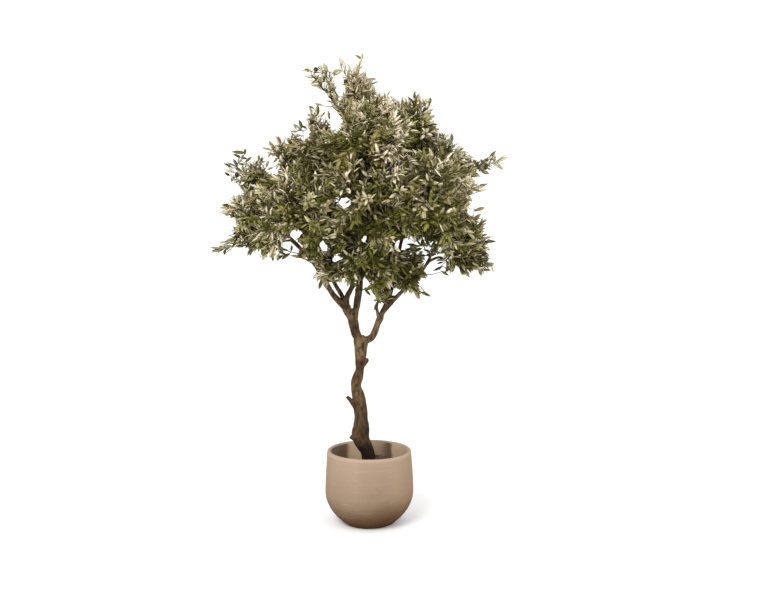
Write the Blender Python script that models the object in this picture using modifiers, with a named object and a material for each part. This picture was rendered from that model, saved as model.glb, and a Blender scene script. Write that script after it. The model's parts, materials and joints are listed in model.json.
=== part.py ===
"""A potted olive tree, 2 m tall, in a round-bellied stoneware pot.

The trunk rises out of the soil in the pot, kinks twice and forks. Tapering boughs grow from it, and each
bough carries one mass of foliage: twigs that branch by a seeded rule from one stem, with leaves fused on.
Metres, +Z up, the origin at the centre of the pot's flat underside, -Y towards the front.
"""

import math
import random
from dataclasses import dataclass

import bmesh
import bpy
from mathutils import Matrix, Vector
from mathutils.bvhtree import BVHTree

# Clearance between neighbouring solids, and the distance that welds a tube's caps.
GAP = 0.0003
WELD = 1e-6
SEED = 11

# The pot is a turned shell with a rounded lip.
POT_HEIGHT = 0.317
POT_BASE_RADIUS = 0.1065
POT_BELLY_RADIUS = 0.191
POT_BELLY_HEIGHT = 0.146
POT_BELLY_EXPONENT = 2.25
POT_SHOULDER_RADIUS = 0.1820
POT_SHOULDER_HEIGHT = 0.306
POT_WALL = 0.017
POT_FLOOR = 0.020
POT_STEPS = 32

# The soil lies below the rim, and mounds up beside the foot of the trunk.
SOIL_LEVEL = 0.222
SOIL_EDGE_LEVEL = 0.212
MOUND_CENTRE = Vector((0.034, 0.020, 0.220))
MOUND_SIZE = Vector((0.085, 0.075, 0.062))

# The trunk's stations: height, sideways, towards the back, radius.
TRUNK = (
    (0.2223, 0.006, 0.000, 0.0400),
    (0.250, 0.001, 0.000, 0.0300),
    (0.305, -0.007, 0.002, 0.0275),
    (0.335, -0.021, 0.004, 0.0320),
    (0.370, -0.036, 0.006, 0.0360),
    (0.424, -0.035, 0.002, 0.0325),
    (0.468, -0.036, -0.002, 0.0278),
    (0.525, -0.043, -0.006, 0.0268),
    (0.556, -0.047, -0.004, 0.0242),
    (0.588, -0.056, 0.004, 0.0208),
    (0.614, -0.056, 0.010, 0.0224),
    (0.640, -0.047, 0.010, 0.0212),
    (0.666, -0.041, 0.006, 0.0170),
    (0.705, -0.038, 0.002, 0.0200),
    (0.750, -0.036, 0.000, 0.0252),
    (0.782, -0.036, 0.000, 0.0300),
    (0.806, -0.046, 0.000, 0.0240),
)
TRUNK_SIDES = 12
# Broken-off stubs on the trunk: height of the foot, tip, radius at the foot and at the tip.
STUBS = (
    (0.345, Vector((-0.083, -0.004, 0.374)), 0.0190, 0.0065),
    (0.515, Vector((-0.092, -0.010, 0.548)), 0.0155, 0.0060),
    (0.700, Vector((-0.004, -0.004, 0.716)), 0.0130, 0.0060),
)
# The limb that carries the left half of the crown, stations as the trunk's.
LEFT_LIMB = (
    (0.798, -0.044, 0.000, 0.0190),
    (0.820, -0.056, 0.002, 0.0188),
    (0.845, -0.063, 0.004, 0.0192),
    (0.880, -0.069, 0.005, 0.0210),
    (0.908, -0.077, 0.003, 0.0218),
    (0.932, -0.092, 0.000, 0.0172),
)

# Boughs taper from a collar to the tip.
LIMB_SIDES, BOUGH_SIDES = 8, 6
LIMB_STEP, BOUGH_STEP = 0.075, 0.090
TIP_RADIUS = 0.0042
TIP_RUN = 0.018
BOUGH_SHARE = 0.62
COLLAR = 0.30
COLLAR_RUN = 0.035
ELBOW_SHARE = 0.30

# Foliage: side twigs stand about one stem by the golden angle, and carry leaves larger than life.
GOLDEN_ANGLE = math.radians(137.5)
TWIGS_LEAST, TWIGS_PER_METRE = 6.2, 19.4
TWIG_FIRST, TWIG_LAST = 0.12, 0.90
TWIG_ANGLE, TWIG_ANGLE_SPREAD = math.radians(60), math.radians(12)
TWIG_TURN_SPREAD = math.radians(24)
TWIG_LIFT = 0.15
TWIG_REACH_LEAST, TWIG_REACH_MOST = 0.84, 0.98
TWIG_RADIUS, TWIG_TIP_RADIUS = 0.0030, 0.0024
STEM_RADIUS, STEM_TIP_RADIUS = 0.0041, 0.0030
STEM_STEPS = 3
STEM_WANDER = 0.14
SHORTEST_TWIG = 0.028
LONG_TWIG = 0.085
LEAF_LENGTH, LEAF_GIRTH_SHARE = 0.098, 0.36
LEAF_WIDTH_SHARE, LEAF_THICKNESS_SHARE = 0.50, 0.036
LEAF_WIDEST = 0.46
LEAF_ANGLE = math.radians(44)
LEAF_ROLL = math.radians(30)
LEAF_SINK = 0.0005
END_SINK = 0.0018
BLADE_FROM = 0.13
LEAF_SIZES = (1.0, 0.82, 0.66)
LEAF_TURNS = (0.0, math.radians(60), math.radians(-60))
OLIVE_SIZE = Vector((0.0100, 0.0100, 0.0135))
SPINDLE = 2.6
EDGE = 0.016
MARCH = 0.006
CLEAR = 0.0012
TIP_LEAF_SHARE = 0.80

# Windows that the foliage keeps open, front to back, along lines that meet at a viewer's eye: sideways and
# height of the centre on the middle plane, half the width and half the height.
EYE = Vector((0.0, -3.75, 1.263))
WINDOWS = (
    # Between the left masses.
    (-0.310, 1.250, 0.030, 0.017),
    (-0.330, 1.197, 0.045, 0.025),
    (-0.192, 1.197, 0.015, 0.026),
    (-0.143, 1.140, 0.016, 0.016),
    (-0.100, 1.379, 0.027, 0.026),
    (-0.406, 1.537, 0.028, 0.044),
    (-0.270, 1.677, 0.022, 0.030),
    (-0.139, 1.011, 0.036, 0.040),
    (-0.077, 0.969, 0.018, 0.042),
    # Between the middle and right masses.
    (-0.122, 1.872, 0.018, 0.055),
    (-0.145, 1.720, 0.020, 0.050),
    (-0.019, 1.227, 0.012, 0.018),
    (0.143, 1.203, 0.038, 0.024),
    (0.269, 1.118, 0.040, 0.034),
    (-0.017, 1.039, 0.020, 0.020),
    (0.113, 0.999, 0.022, 0.020),
    (0.056, 0.936, 0.014, 0.024),
    (0.494, 1.480, 0.050, 0.026),
    # Notches round the outline, from the lower left over the top to the lower right.
    (-0.300, 1.095, 0.085, 0.052),
    (-0.550, 1.135, 0.085, 0.030),
    (-0.595, 1.295, 0.034, 0.030),
    (-0.590, 1.435, 0.055, 0.035),
    (-0.470, 1.610, 0.030, 0.036),
    (-0.355, 1.690, 0.030, 0.026),
    (-0.285, 1.780, 0.034, 0.032),
    (-0.200, 1.828, 0.026, 0.026),
    (-0.285, 1.875, 0.034, 0.036),
    (0.020, 1.945, 0.038, 0.050),
    (0.150, 1.845, 0.040, 0.026),
    (0.300, 1.765, 0.036, 0.045),
    (0.400, 1.660, 0.048, 0.036),
    (0.490, 1.630, 0.075, 0.034),
    (0.470, 1.395, 0.050, 0.040),
    (0.520, 1.275, 0.032, 0.032),
    (0.450, 1.035, 0.090, 0.036),
    (0.280, 1.040, 0.050, 0.046),
)


@dataclass(frozen=True)
class Branch:
    """A bough, and the spindle-shaped space from its tip that its mass of foliage fills."""

    name: str
    parent: str
    at: float
    root: tuple
    tip: tuple
    girth: float
    via: tuple = ()
    radius: float = 0.0
    olive: tuple = ()
    leaf_tips: tuple = ()


BRANCHES = (
    Branch(
        "outer_left", "left_limb", 0.96, (-0.345, -0.045, 1.240), (-0.625, -0.030, 1.375), 0.105,
        via=((-0.141, -0.006, 0.979), (-0.171, -0.018, 1.022), (-0.232, -0.035, 1.125)),
        radius=0.0138, leaf_tips=((-0.606, -0.030, 1.318),),
    ),
    Branch(
        "back_left", "outer_left", 0.06, (-0.300, 0.120, 1.330), (-0.600, 0.060, 1.560), 0.100,
        via=((-0.132, 0.016, 0.990), (-0.152, 0.030, 1.045), (-0.210, 0.085, 1.160)),
        radius=0.0088, olive=(-0.558, 0.000, 1.497),
        leaf_tips=((-0.609, 0.040, 1.500), (-0.440, 0.040, 1.574)),
    ),
    Branch(
        "inner_left", "left_limb", 0.86, (-0.200, -0.060, 1.420), (-0.225, 0.000, 1.790), 0.125,
        via=((-0.091, -0.016, 0.975), (-0.070, -0.034, 1.035), (-0.100, -0.060, 1.160)),
        radius=0.0096, olive=(-0.236, -0.060, 1.711),
        leaf_tips=((-0.330, -0.020, 1.680), (-0.300, -0.010, 1.722), (-0.262, 0.000, 1.778)),
    ),
    Branch(
        "leader", "left_limb", 0.55, (-0.068, 0.000, 1.700), (-0.033, 0.000, 2.000), 0.085,
        via=(
            (-0.052, 0.008, 0.950), (-0.043, 0.020, 1.052), (-0.045, 0.030, 1.250),
            (-0.060, 0.010, 1.450),
        ),
        radius=0.0136, olive=(-0.096, -0.030, 1.879), leaf_tips=((-0.117, 0.000, 1.971),),
    ),
    Branch(
        "right_limb", "trunk", 0.950, (0.200, 0.050, 1.420), (0.385, 0.030, 1.655), 0.130,
        via=(
            (0.010, 0.000, 0.808), (0.032, 0.000, 0.855), (0.060, 0.000, 0.920),
            (0.085, 0.000, 0.975), (0.115, 0.020, 1.100), (0.150, 0.040, 1.270),
        ),
        radius=0.0112, olive=(0.332, -0.060, 1.596),
    ),
    Branch(
        "right_low", "right_limb", 0.250, (0.300, -0.030, 1.200), (0.545, -0.020, 1.222), 0.105,
        via=((0.133, -0.020, 0.997), (0.165, -0.028, 1.025), (0.240, -0.030, 1.115)),
        radius=0.0086, olive=(0.443, -0.060, 1.294), leaf_tips=((0.500, -0.020, 1.352),),
    ),
    Branch(
        "low_left", "outer_left", 0.62, (-0.345, -0.060, 1.220), (-0.673, -0.020, 1.182), 0.068,
        leaf_tips=((-0.505, -0.040, 1.152),),
    ),
    Branch("under_left", "outer_left", 0.38, (-0.180, -0.070, 1.120), (-0.200, -0.250, 1.150), 0.095),
    Branch(
        "left_shoulder", "back_left", 0.72, (-0.285, 0.090, 1.420), (-0.415, 0.030, 1.645), 0.095,
        leaf_tips=((-0.443, 0.010, 1.610),),
    ),
    Branch("rear_left", "back_left", 0.48, (-0.260, 0.180, 1.270), (-0.420, 0.450, 1.420), 0.200),
    Branch("front_left", "inner_left", 0.42, (-0.190, -0.150, 1.240), (-0.350, -0.450, 1.360), 0.200),
    Branch("front_low", "inner_left", 0.20, (-0.050, -0.110, 1.140), (-0.020, -0.400, 1.140), 0.160),
    Branch(
        "crown_left", "leader", 0.84, (-0.118, 0.000, 1.750), (-0.262, 0.000, 1.945), 0.075,
        olive=(-0.221, -0.020, 1.930), leaf_tips=((-0.187, 0.000, 1.962),),
    ),
    Branch(
        "crown_right", "leader", 0.72, (0.000, 0.030, 1.600), (0.050, 0.000, 1.850), 0.130,
        olive=(0.050, -0.060, 1.727),
    ),
    Branch(
        "upper_right", "leader", 0.52, (0.085, 0.050, 1.560), (0.265, 0.000, 1.812), 0.130,
        olive=(0.234, -0.030, 1.764), leaf_tips=((0.197, 0.000, 1.826), (0.108, 0.000, 1.806)),
    ),
    Branch(
        "front_high", "leader", 0.60, (-0.040, -0.100, 1.500), (0.030, -0.360, 1.700), 0.190,
        olive=(0.081, -0.350, 1.500),
    ),
    Branch("front_middle", "leader", 0.36, (-0.020, -0.110, 1.330), (0.000, -0.500, 1.390), 0.210),
    Branch("rear_middle", "leader", 0.40, (-0.060, 0.130, 1.350), (-0.090, 0.500, 1.440), 0.210),
    Branch("rear_high", "leader", 0.64, (-0.060, 0.110, 1.520), (-0.110, 0.350, 1.730), 0.190),
    Branch(
        "right_shoot", "right_limb", 0.84, (0.375, 0.030, 1.485), (0.583, 0.000, 1.572), 0.066,
        olive=(0.492, -0.020, 1.529), leaf_tips=((0.527, 0.000, 1.598), (0.555, 0.000, 1.535)),
    ),
    Branch("right_middle", "right_limb", 0.76, (0.270, 0.000, 1.360), (0.505, 0.000, 1.440), 0.110),
    Branch(
        "right_under", "right_low", 0.72, (0.310, -0.060, 1.148), (0.530, -0.030, 1.108), 0.074,
        olive=(0.496, -0.050, 1.143), leaf_tips=((0.415, -0.050, 1.075),),
    ),
    Branch("low_right", "right_limb", 0.44, (0.115, -0.060, 1.115), (0.252, -0.120, 0.996), 0.098),
    Branch("low_shoot", "right_limb", 0.17, (0.036, -0.020, 0.955), (0.062, -0.050, 1.060), 0.042),
    Branch("front_right", "right_limb", 0.62, (0.170, -0.120, 1.300), (0.330, -0.430, 1.410), 0.200),
    Branch("rear_right", "right_limb", 0.66, (0.190, 0.150, 1.320), (0.360, 0.430, 1.430), 0.200),
    Branch("rear_low", "right_limb", 0.46, (0.060, 0.120, 1.150), (0.080, 0.430, 1.160), 0.190),
)


class Finish:
    """A plain surface: colour, roughness and metallic value."""

    def __init__(self, name, colour, roughness, metallic=0.0):
        self.name = name
        self.colour = colour
        self.roughness = roughness
        self.metallic = metallic

    def material(self, owner):
        """A Principled material of this finish for one object."""
        made = bpy.data.materials.new(f"{owner}_{self.name}")
        made.use_nodes = True
        shader = made.node_tree.nodes["Principled BSDF"]
        shader.inputs["Base Color"].default_value = (*self.colour, 1.0)
        shader.inputs["Roughness"].default_value = self.roughness
        shader.inputs["Metallic"].default_value = self.metallic
        made.diffuse_color = (*self.colour, 1.0)
        return made


STONEWARE = Finish("stoneware", (0.46, 0.35, 0.25), 0.85)
EARTH = Finish("earth", (0.075, 0.040, 0.025), 0.95)
BARK = Finish("bark", (0.115, 0.080, 0.050), 0.90)
FOLIAGE = Finish("foliage", (0.105, 0.125, 0.060), 0.60)


def tree_of(mesh):
    """A tree of the mesh's faces that tells whether it runs into another."""
    points = [vertex.co for vertex in mesh.vertices]
    return BVHTree.FromPolygons(points, [tuple(face.vertices) for face in mesh.polygons])


class Limb:
    """A tapering round tube along a line of stations, each a point and a radius."""

    def __init__(self, name, stations, sides):
        self.name = name
        self.stations = stations
        self.sides = sides
        self.tree = tree_of(self.tube(f"{name}_sleeve", GAP + CLEAR))

    def place(self, share):
        """The point, direction and radius at a share of the length."""
        points = [point for point, radius in self.stations]
        runs = [(end - start).length for start, end in zip(points, points[1:])]
        left = share * sum(runs)
        for index, run in enumerate(runs):
            if left <= run or index == len(runs) - 1:
                break
            left -= run
        start, end = self.stations[index], self.stations[index + 1]
        mix = left / runs[index]
        point = start[0].lerp(end[0], mix)
        return point, (end[0] - start[0]).normalized(), start[1] + (end[1] - start[1]) * mix

    def tube(self, name, extra=0.0):
        """The tube's mesh, grown outwards by the extra and as much past its ends."""
        stations = list(self.stations)
        if extra:
            first, second = stations[0][0], stations[1][0]
            last, before = stations[-1][0], stations[-2][0]
            stations[0] = (first + (first - second).normalized() * extra, stations[0][1])
            stations[-1] = (last + (last - before).normalized() * extra, stations[-1][1])
        return tube_mesh(name, [(point, radius + extra) for point, radius in stations], self.sides)


class Space:
    """A spindle-shaped space, blunt at its two poles, and how deep a point lies in it."""

    def __init__(self, branch):
        self.root = Vector(branch.root)
        self.tip = Vector(branch.tip)
        self.girth = branch.girth
        self.centre = (self.root + self.tip) / 2
        self.half = (self.tip - self.root).length / 2
        self.axis = (self.tip - self.root).normalized()
        self.side = self.axis.cross(Vector((0.0, 0.0, 1.0))).normalized()
        self.rise = self.side.cross(self.axis)

    def depth(self, point):
        """0 at the centre and 1 on the surface."""
        offset = point - self.centre
        along = offset.dot(self.axis)
        across = (offset - self.axis * along).length
        ends = (abs(along) / self.half) ** SPINDLE + (across / self.girth) ** SPINDLE
        return ends ** (1 / SPINDLE)

    def around(self, turn):
        """The direction square to the axis at an angle about it."""
        return self.side * math.cos(turn) + self.rise * math.sin(turn)


def in_window(point):
    """Whether a point lies in one of the crown's open windows."""
    spot = EYE + (point - EYE) * (EYE.y / (EYE.y - point.y))
    return any(
        ((spot.x - across) / wide) ** 2 + ((spot.z - height) / tall) ** 2 < 1.0
        for across, height, wide, tall in WINDOWS
    )


def clear_scene():
    """Removes everything that the file opened with."""
    for obj in list(bpy.data.objects):
        bpy.data.objects.remove(obj, do_unlink=True)
    for collection in list(bpy.data.collections):
        bpy.data.collections.remove(collection)


def new_collection(name):
    made = bpy.data.collections.new(name)
    bpy.context.scene.collection.children.link(made)
    return made


def place_object(name, mesh, collection):
    made = bpy.data.objects.new(name, mesh)
    collection.objects.link(made)
    return made


def finish_object(obj, finish, smooth=True):
    """Gives an object its material and its shading."""
    obj.data.materials.clear()
    obj.data.materials.append(finish.material(obj.name))
    if smooth:
        obj.data.shade_smooth()
        obj.data.set_sharp_from_angle(angle=math.radians(40))


def evaluated_mesh(obj):
    """The mesh that an object's modifiers make of it."""
    bpy.context.view_layer.update()
    graph = bpy.context.evaluated_depsgraph_get()
    return bpy.data.meshes.new_from_object(obj.evaluated_get(graph), depsgraph=graph)


def tube_mesh(name, stations, sides):
    """A closed round tube through the stations, made from a bevelled curve."""
    curve = bpy.data.curves.new(name, "CURVE")
    curve.dimensions = "3D"
    curve.bevel_depth = 1.0
    curve.bevel_resolution = (sides - 4) // 2
    curve.use_fill_caps = True
    spline = curve.splines.new("POLY")
    spline.points.add(len(stations) - 1)
    for control, (point, radius) in zip(spline.points, stations):
        control.co = (*point, 1.0)
        control.radius = radius
    guide = place_object(name, curve, bpy.context.scene.collection)
    mesh = evaluated_mesh(guide)
    bpy.data.objects.remove(guide, do_unlink=True)
    bpy.data.curves.remove(curve)
    mesh.name = name
    shape = bmesh.new()
    shape.from_mesh(mesh)
    bmesh.ops.remove_doubles(shape, verts=shape.verts, dist=WELD)
    bmesh.ops.recalc_face_normals(shape, faces=shape.faces)
    shape.to_mesh(mesh)
    shape.free()
    return mesh


def smooth_line(points, step):
    """A Catmull-Rom line through the points, with a station about every step."""
    ends = [2 * points[0] - points[1], *points, 2 * points[-1] - points[-2]]
    line = [points[0]]
    for before, start, end, after in zip(ends, ends[1:], ends[2:], ends[3:]):
        count = max(1, round((end - start).length / step))
        for index in range(1, count + 1):
            t = index / count
            bend = 2 * before - 5 * start + 4 * end - after
            twist = 3 * (start - end) + after - before
            line.append(0.5 * (2 * start + (end - before) * t + bend * t**2 + twist * t**3))
    return line


def apply_boolean(obj, operation, collection, solver):
    """Joins a collection to an object, or cuts it away, and leaves a plain mesh."""
    modifier = obj.modifiers.new(operation.title(), "BOOLEAN")
    modifier.operation = operation
    modifier.operand_type = "COLLECTION"
    modifier.collection = collection
    modifier.solver = solver
    mesh = evaluated_mesh(obj)
    obj.modifiers.remove(modifier)
    obj.data = mesh


def keep_largest(mesh):
    """Drops every loose scrap and every sealed hollow, which leaves the largest body's outside."""
    shape = bmesh.new()
    shape.from_mesh(mesh)
    left = set(shape.faces)
    shells = []
    while left:
        edge = [left.pop()]
        shell = set(edge)
        while edge:
            for side in edge.pop().edges:
                if len(side.link_faces) != 2:
                    continue
                for face in side.link_faces:
                    if face not in shell:
                        shell.add(face)
                        edge.append(face)
        left -= shell
        shells.append(shell)
    shells.sort(key=lambda shell: sum(face.calc_area() for face in shell))
    for shell in shells[:-1]:
        bmesh.ops.delete(shape, geom=list(shell), context="FACES")
    shape.to_mesh(mesh)
    shape.free()


def empty_collection(collection):
    """Removes a helper collection with all that is in it."""
    for obj in list(collection.objects):
        bpy.data.objects.remove(obj, do_unlink=True)
    bpy.data.collections.remove(collection)


def joined_mesh(name, meshes, solver):
    """One closed mesh from overlapping closed meshes, by one union on their collection."""
    pieces = new_collection(f"{name}_pieces")
    for index, mesh in enumerate(meshes[1:]):
        place_object(f"{name}_piece_{index}", mesh, pieces)
    first = place_object(f"{name}_first", meshes[0], bpy.context.scene.collection)
    apply_boolean(first, "UNION", pieces, solver)
    mesh = first.data
    bpy.data.objects.remove(first, do_unlink=True)
    empty_collection(pieces)
    keep_largest(mesh)
    mesh.name = name
    return mesh


def cut_mesh(name, mesh, cutters, solver):
    """A mesh with its cutters' space taken out of it."""
    tools = new_collection(f"{name}_cutters")
    for index, cutter in enumerate(cutters):
        tool = place_object(f"{name}_cutter_{index}", cutter, tools)
        tool.hide_render = True
        tool.display_type = "WIRE"
    piece = place_object(f"{name}_whole", mesh, bpy.context.scene.collection)
    apply_boolean(piece, "DIFFERENCE", tools, solver)
    made = piece.data
    bpy.data.objects.remove(piece, do_unlink=True)
    empty_collection(tools)
    keep_largest(made)
    made.name = name
    return made


def pot_outer_radius(height):
    """The pot's outside: a rounded belly over a narrow foot, and a slight draw-in to the shoulder."""
    if height < POT_BELLY_HEIGHT:
        rise = 1.0 - height / POT_BELLY_HEIGHT
        return POT_BELLY_RADIUS - (POT_BELLY_RADIUS - POT_BASE_RADIUS) * rise**POT_BELLY_EXPONENT
    rise = (height - POT_BELLY_HEIGHT) / (POT_SHOULDER_HEIGHT - POT_BELLY_HEIGHT)
    return POT_BELLY_RADIUS - (POT_BELLY_RADIUS - POT_SHOULDER_RADIUS) * rise**1.4


def pot_inner_radius(height):
    """The pot's inside, a wall's thickness in from its outside."""
    return pot_outer_radius(height) - POT_WALL


def turned_mesh(name, profile):
    """A closed turned solid from its half profile, which runs down the outer side."""
    mesh = bpy.data.meshes.new(name)
    points = [(radius, 0.0, height) for radius, height in profile]
    mesh.from_pydata(points, [(index, index + 1) for index in range(len(points) - 1)], [])
    guide = place_object(name, mesh, bpy.context.scene.collection)
    screw = guide.modifiers.new("Turn", "SCREW")
    screw.steps = POT_STEPS
    screw.render_steps = POT_STEPS
    screw.use_merge_vertices = True
    screw.merge_threshold = 0.0001
    made = evaluated_mesh(guide)
    bpy.data.objects.remove(guide, do_unlink=True)
    made.name = name
    return made


def pot_mesh():
    lip_radius = pot_outer_radius(POT_SHOULDER_HEIGHT) - POT_WALL / 2
    lip_height = POT_HEIGHT - POT_WALL / 2
    inside = [(0.0, POT_FLOOR)]
    for step in range(6):
        height = POT_FLOOR + (lip_height - POT_FLOOR) * (step / 6)
        inside.append((pot_inner_radius(height), height))
    lip = []
    for step in range(5):
        turn = math.pi * (1 - step / 4)
        lip.append(
            (lip_radius + POT_WALL / 2 * math.cos(turn), lip_height + POT_WALL / 2 * math.sin(turn))
        )
    outside = []
    for step in range(9):
        height = POT_SHOULDER_HEIGHT * (1 - (step + 1) / 9) ** 1.15
        outside.append((pot_outer_radius(height), height))
    return turned_mesh("pot", inside + lip + outside + [(0.0, 0.0)])


def soil_mesh(trunk):
    """The fill: the pot's inside up to the soil's level, with a mound beside the trunk."""
    floor = POT_FLOOR + GAP
    profile = [(0.0, SOIL_LEVEL), (0.10, SOIL_LEVEL - 0.002)]
    for step in range(6):
        height = SOIL_EDGE_LEVEL + (floor - SOIL_EDGE_LEVEL) * step / 5
        chord = 0.0040
        profile.append((pot_inner_radius(height) - GAP - chord, height))
    profile.append((0.0, floor))
    fill = turned_mesh("fill", profile)
    shape = bmesh.new()
    bmesh.ops.create_icosphere(
        shape, subdivisions=2, radius=1.0,
        matrix=Matrix.LocRotScale(MOUND_CENTRE, None, MOUND_SIZE),
    )
    mound = bpy.data.meshes.new("mound")
    shape.to_mesh(mound)
    shape.free()
    whole = joined_mesh("soil_whole", [fill, mound], "EXACT")
    return cut_mesh("soil", whole, [trunk.tube("trunk_cutter", GAP)], "EXACT")


def stations_of(rows):
    return [(Vector((x, y, z)), radius) for z, x, y, radius in rows]


def trunk_limb():
    return Limb("trunk", stations_of(TRUNK), TRUNK_SIDES)


def trunk_mesh(limb):
    """The trunk with its broken-off stubs."""
    meshes = [limb.tube("trunk_tube")]
    for height, tip, radius, tip_radius in STUBS:
        foot = next(
            start.lerp(end, (height - start.z) / (end.z - start.z))
            for (start, _), (end, _) in zip(limb.stations, limb.stations[1:])
            if start.z <= height <= end.z
        )
        middle = foot.lerp(tip, 0.55)
        stations = [(foot, radius), (middle, (radius + tip_radius) / 2), (tip, tip_radius)]
        meshes.append(tube_mesh("stub", stations, LIMB_SIDES))
    return joined_mesh("trunk", meshes, "EXACT")


def bough_limb(branch, limbs):
    """The bough from inside its parent to the pole of its space, which it reaches square on."""
    start, along, radius = limbs[branch.parent].place(branch.at)
    space = Space(branch)
    run_in = space.root - space.axis * TIP_RUN
    via = [Vector(point) for point in branch.via]
    if not via:
        out = (run_in - start).normalized()
        via = [start + (along + out).normalized() * (run_in - start).length * ELBOW_SHARE]
    line = smooth_line([start, *via, run_in], LIMB_STEP if branch.via else BOUGH_STEP)
    line.append(space.root)
    root_radius = branch.radius or max(radius * BOUGH_SHARE, TIP_RADIUS * 1.15)
    total = sum((end - begin).length for begin, end in zip(line, line[1:]))
    walked = 0.0
    stations = []
    for index, point in enumerate(line):
        if index:
            walked += (point - line[index - 1]).length
        taper = TIP_RADIUS + (root_radius - TIP_RADIUS) * (1.0 - walked / total)
        stations.append((point, taper * (1.0 + COLLAR * math.exp(-walked / COLLAR_RUN))))
    stations[-1] = (space.root, TIP_RADIUS)
    return Limb(branch.name, stations, LIMB_SIDES if branch.via else BOUGH_SIDES)


def leaf_mesh(foot, reach, width, thick):
    """A closed leaf of six faces with a low keel, from its foot to its tip."""
    shape = bmesh.new()
    bmesh.ops.create_uvsphere(shape, u_segments=3, v_segments=2, radius=1.0)
    for vertex in shape.verts:
        if abs(vertex.co.z) < 0.5:
            vertex.co.z = 2 * LEAF_WIDEST - 1
    frame = Matrix((width / 2, thick / 2, reach / 2)).transposed().to_4x4()
    frame.translation = foot + reach / 2
    shape.transform(frame)
    mesh = bpy.data.meshes.new("leaf")
    shape.to_mesh(mesh)
    shape.free()
    return mesh


class Growth:
    """One mass of foliage, grown twig by twig and leaf by leaf inside its own space."""

    def __init__(self, index, spaces, limbs, neighbours):
        self.branch = BRANCHES[index]
        self.space = spaces[index]
        self.others = [space for space in spaces if space is not self.space]
        self.limbs = limbs
        self.neighbours = neighbours
        self.dice = random.Random(SEED * 1009 + index)
        self.leaf_dice = random.Random(SEED * 2003 + index)
        self.leaf_length = LEAF_LENGTH + LEAF_GIRTH_SHARE * self.space.girth
        self.pieces = []
        self.crowd = []
        self.wood = []

    def owns(self, point):
        """Whether a point lies in this mass's space, deeper in it than in any other, and in no window."""
        depth = self.space.depth(point)
        if depth > 1.001 or in_window(point):
            return False
        return all(other.depth(point) > depth + EDGE for other in self.others)

    def free(self, mesh, crowd=()):
        """Whether a piece touches no limb, no other mass and none of the crowd."""
        tree = tree_of(mesh)
        if any(tree.overlap(limb.tree) for limb in self.limbs):
            return False
        return not any(tree.overlap(other) for other in (*self.neighbours, *crowd))

    def reach(self, start, direction):
        """How far a line runs before it leaves the space."""
        run = 0.0
        while self.owns(start + direction * (run + MARCH)):
            run += MARCH
        return run

    def stem_point(self, share):
        """A point on the stem, which wanders a little on its way to the far pole."""
        sway = STEM_WANDER * self.space.girth * math.sin(math.pi * share)
        offset = self.space.around(self.sway_turn + 2.2 * share) * sway
        start = self.space.root + self.space.axis * (GAP * 1.2)
        return start.lerp(self.stem_end, share) + offset

    def add_stem(self):
        self.sway_turn = self.dice.uniform(0.0, 2 * math.pi)
        self.stem_end = self.space.tip - self.space.axis * self.leaf_length * 0.86
        lead = self.space.root + self.space.axis * (GAP * 1.2)
        stations = [(lead, STEM_RADIUS), (lead + self.space.axis * 0.006, STEM_RADIUS)]
        for step in range(1, STEM_STEPS + 1):
            share = step / STEM_STEPS
            radius = STEM_RADIUS + (STEM_TIP_RADIUS - STEM_RADIUS) * share
            stations.append((self.stem_point(share), radius))
        mesh = tube_mesh("stem", stations, 4)
        self.pieces.append(mesh)
        self.crowd.append(tree_of(mesh))
        self.wood.extend(point for point, radius in stations[2:])

    def vacant(self, point):
        """Whether a point lies in no other mass's space."""
        return all(other.depth(point) > 1.0 for other in self.others)

    def add_leaf(self, root, direction, across, length, room):
        """A flat leaf, turned or made smaller until every corner has room, or skipped."""
        normal = direction.cross(across).normalized()
        across = normal.cross(direction).normalized()
        foot = root - direction * LEAF_SINK
        for size in LEAF_SIZES:
            reach = direction * (length * size + LEAF_SINK)
            for roll in LEAF_TURNS:
                turn = Matrix.Rotation(roll, 3, direction)
                width = turn @ across * length * size * LEAF_WIDTH_SHARE
                thick = turn @ normal * length * size * LEAF_THICKNESS_SHARE
                mesh = leaf_mesh(foot, reach, width, thick)
                corners = [vertex.co.copy() for vertex in mesh.vertices]
                corners += [(start + end) / 2 for start, end in zip(corners, corners[1:])]
                if not all(room(corner) for corner in corners):
                    continue
                blade = leaf_mesh(foot + reach * BLADE_FROM, reach * (1 - BLADE_FROM), width, thick)
                if self.free(blade, self.crowd):
                    self.crowd.append(tree_of(blade))
                    self.pieces.append(mesh)
                    return

    def add_pair(self, point, along, turn, length):
        """Two leaves on opposite sides of a twig."""
        side = along.orthogonal().normalized()
        side.rotate(Matrix.Rotation(turn, 3, along))
        for sign in (1.0, -1.0):
            direction = along * math.cos(LEAF_ANGLE) + side * sign * math.sin(LEAF_ANGLE)
            across = along.cross(side).normalized()
            roll = self.leaf_dice.uniform(-LEAF_ROLL, LEAF_ROLL)
            across.rotate(Matrix.Rotation(roll, 3, direction))
            size = self.leaf_dice.uniform(0.85, 1.05)
            self.add_leaf(point, direction, across, length * size, self.owns)

    def add_end_leaf(self, point, along, turn, length, room):
        across = along.orthogonal().normalized()
        across.rotate(Matrix.Rotation(turn, 3, along))
        self.add_leaf(point, along, across, length, room)

    def add_wood(self, start, direction, length):
        """A straight twig, unless it would run into a limb or another mass."""
        shape = bmesh.new()
        bmesh.ops.create_cone(
            shape, cap_ends=True, segments=3, radius1=TWIG_RADIUS, radius2=TWIG_TIP_RADIUS,
            depth=length,
        )
        frame = direction.to_track_quat("Z", "Y").to_matrix().to_4x4()
        frame.translation = start + direction * length / 2
        shape.transform(frame)
        mesh = bpy.data.meshes.new("twig")
        shape.to_mesh(mesh)
        shape.free()
        if not self.free(mesh):
            return False
        self.pieces.append(mesh)
        self.crowd.append(tree_of(mesh))
        return True

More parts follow.
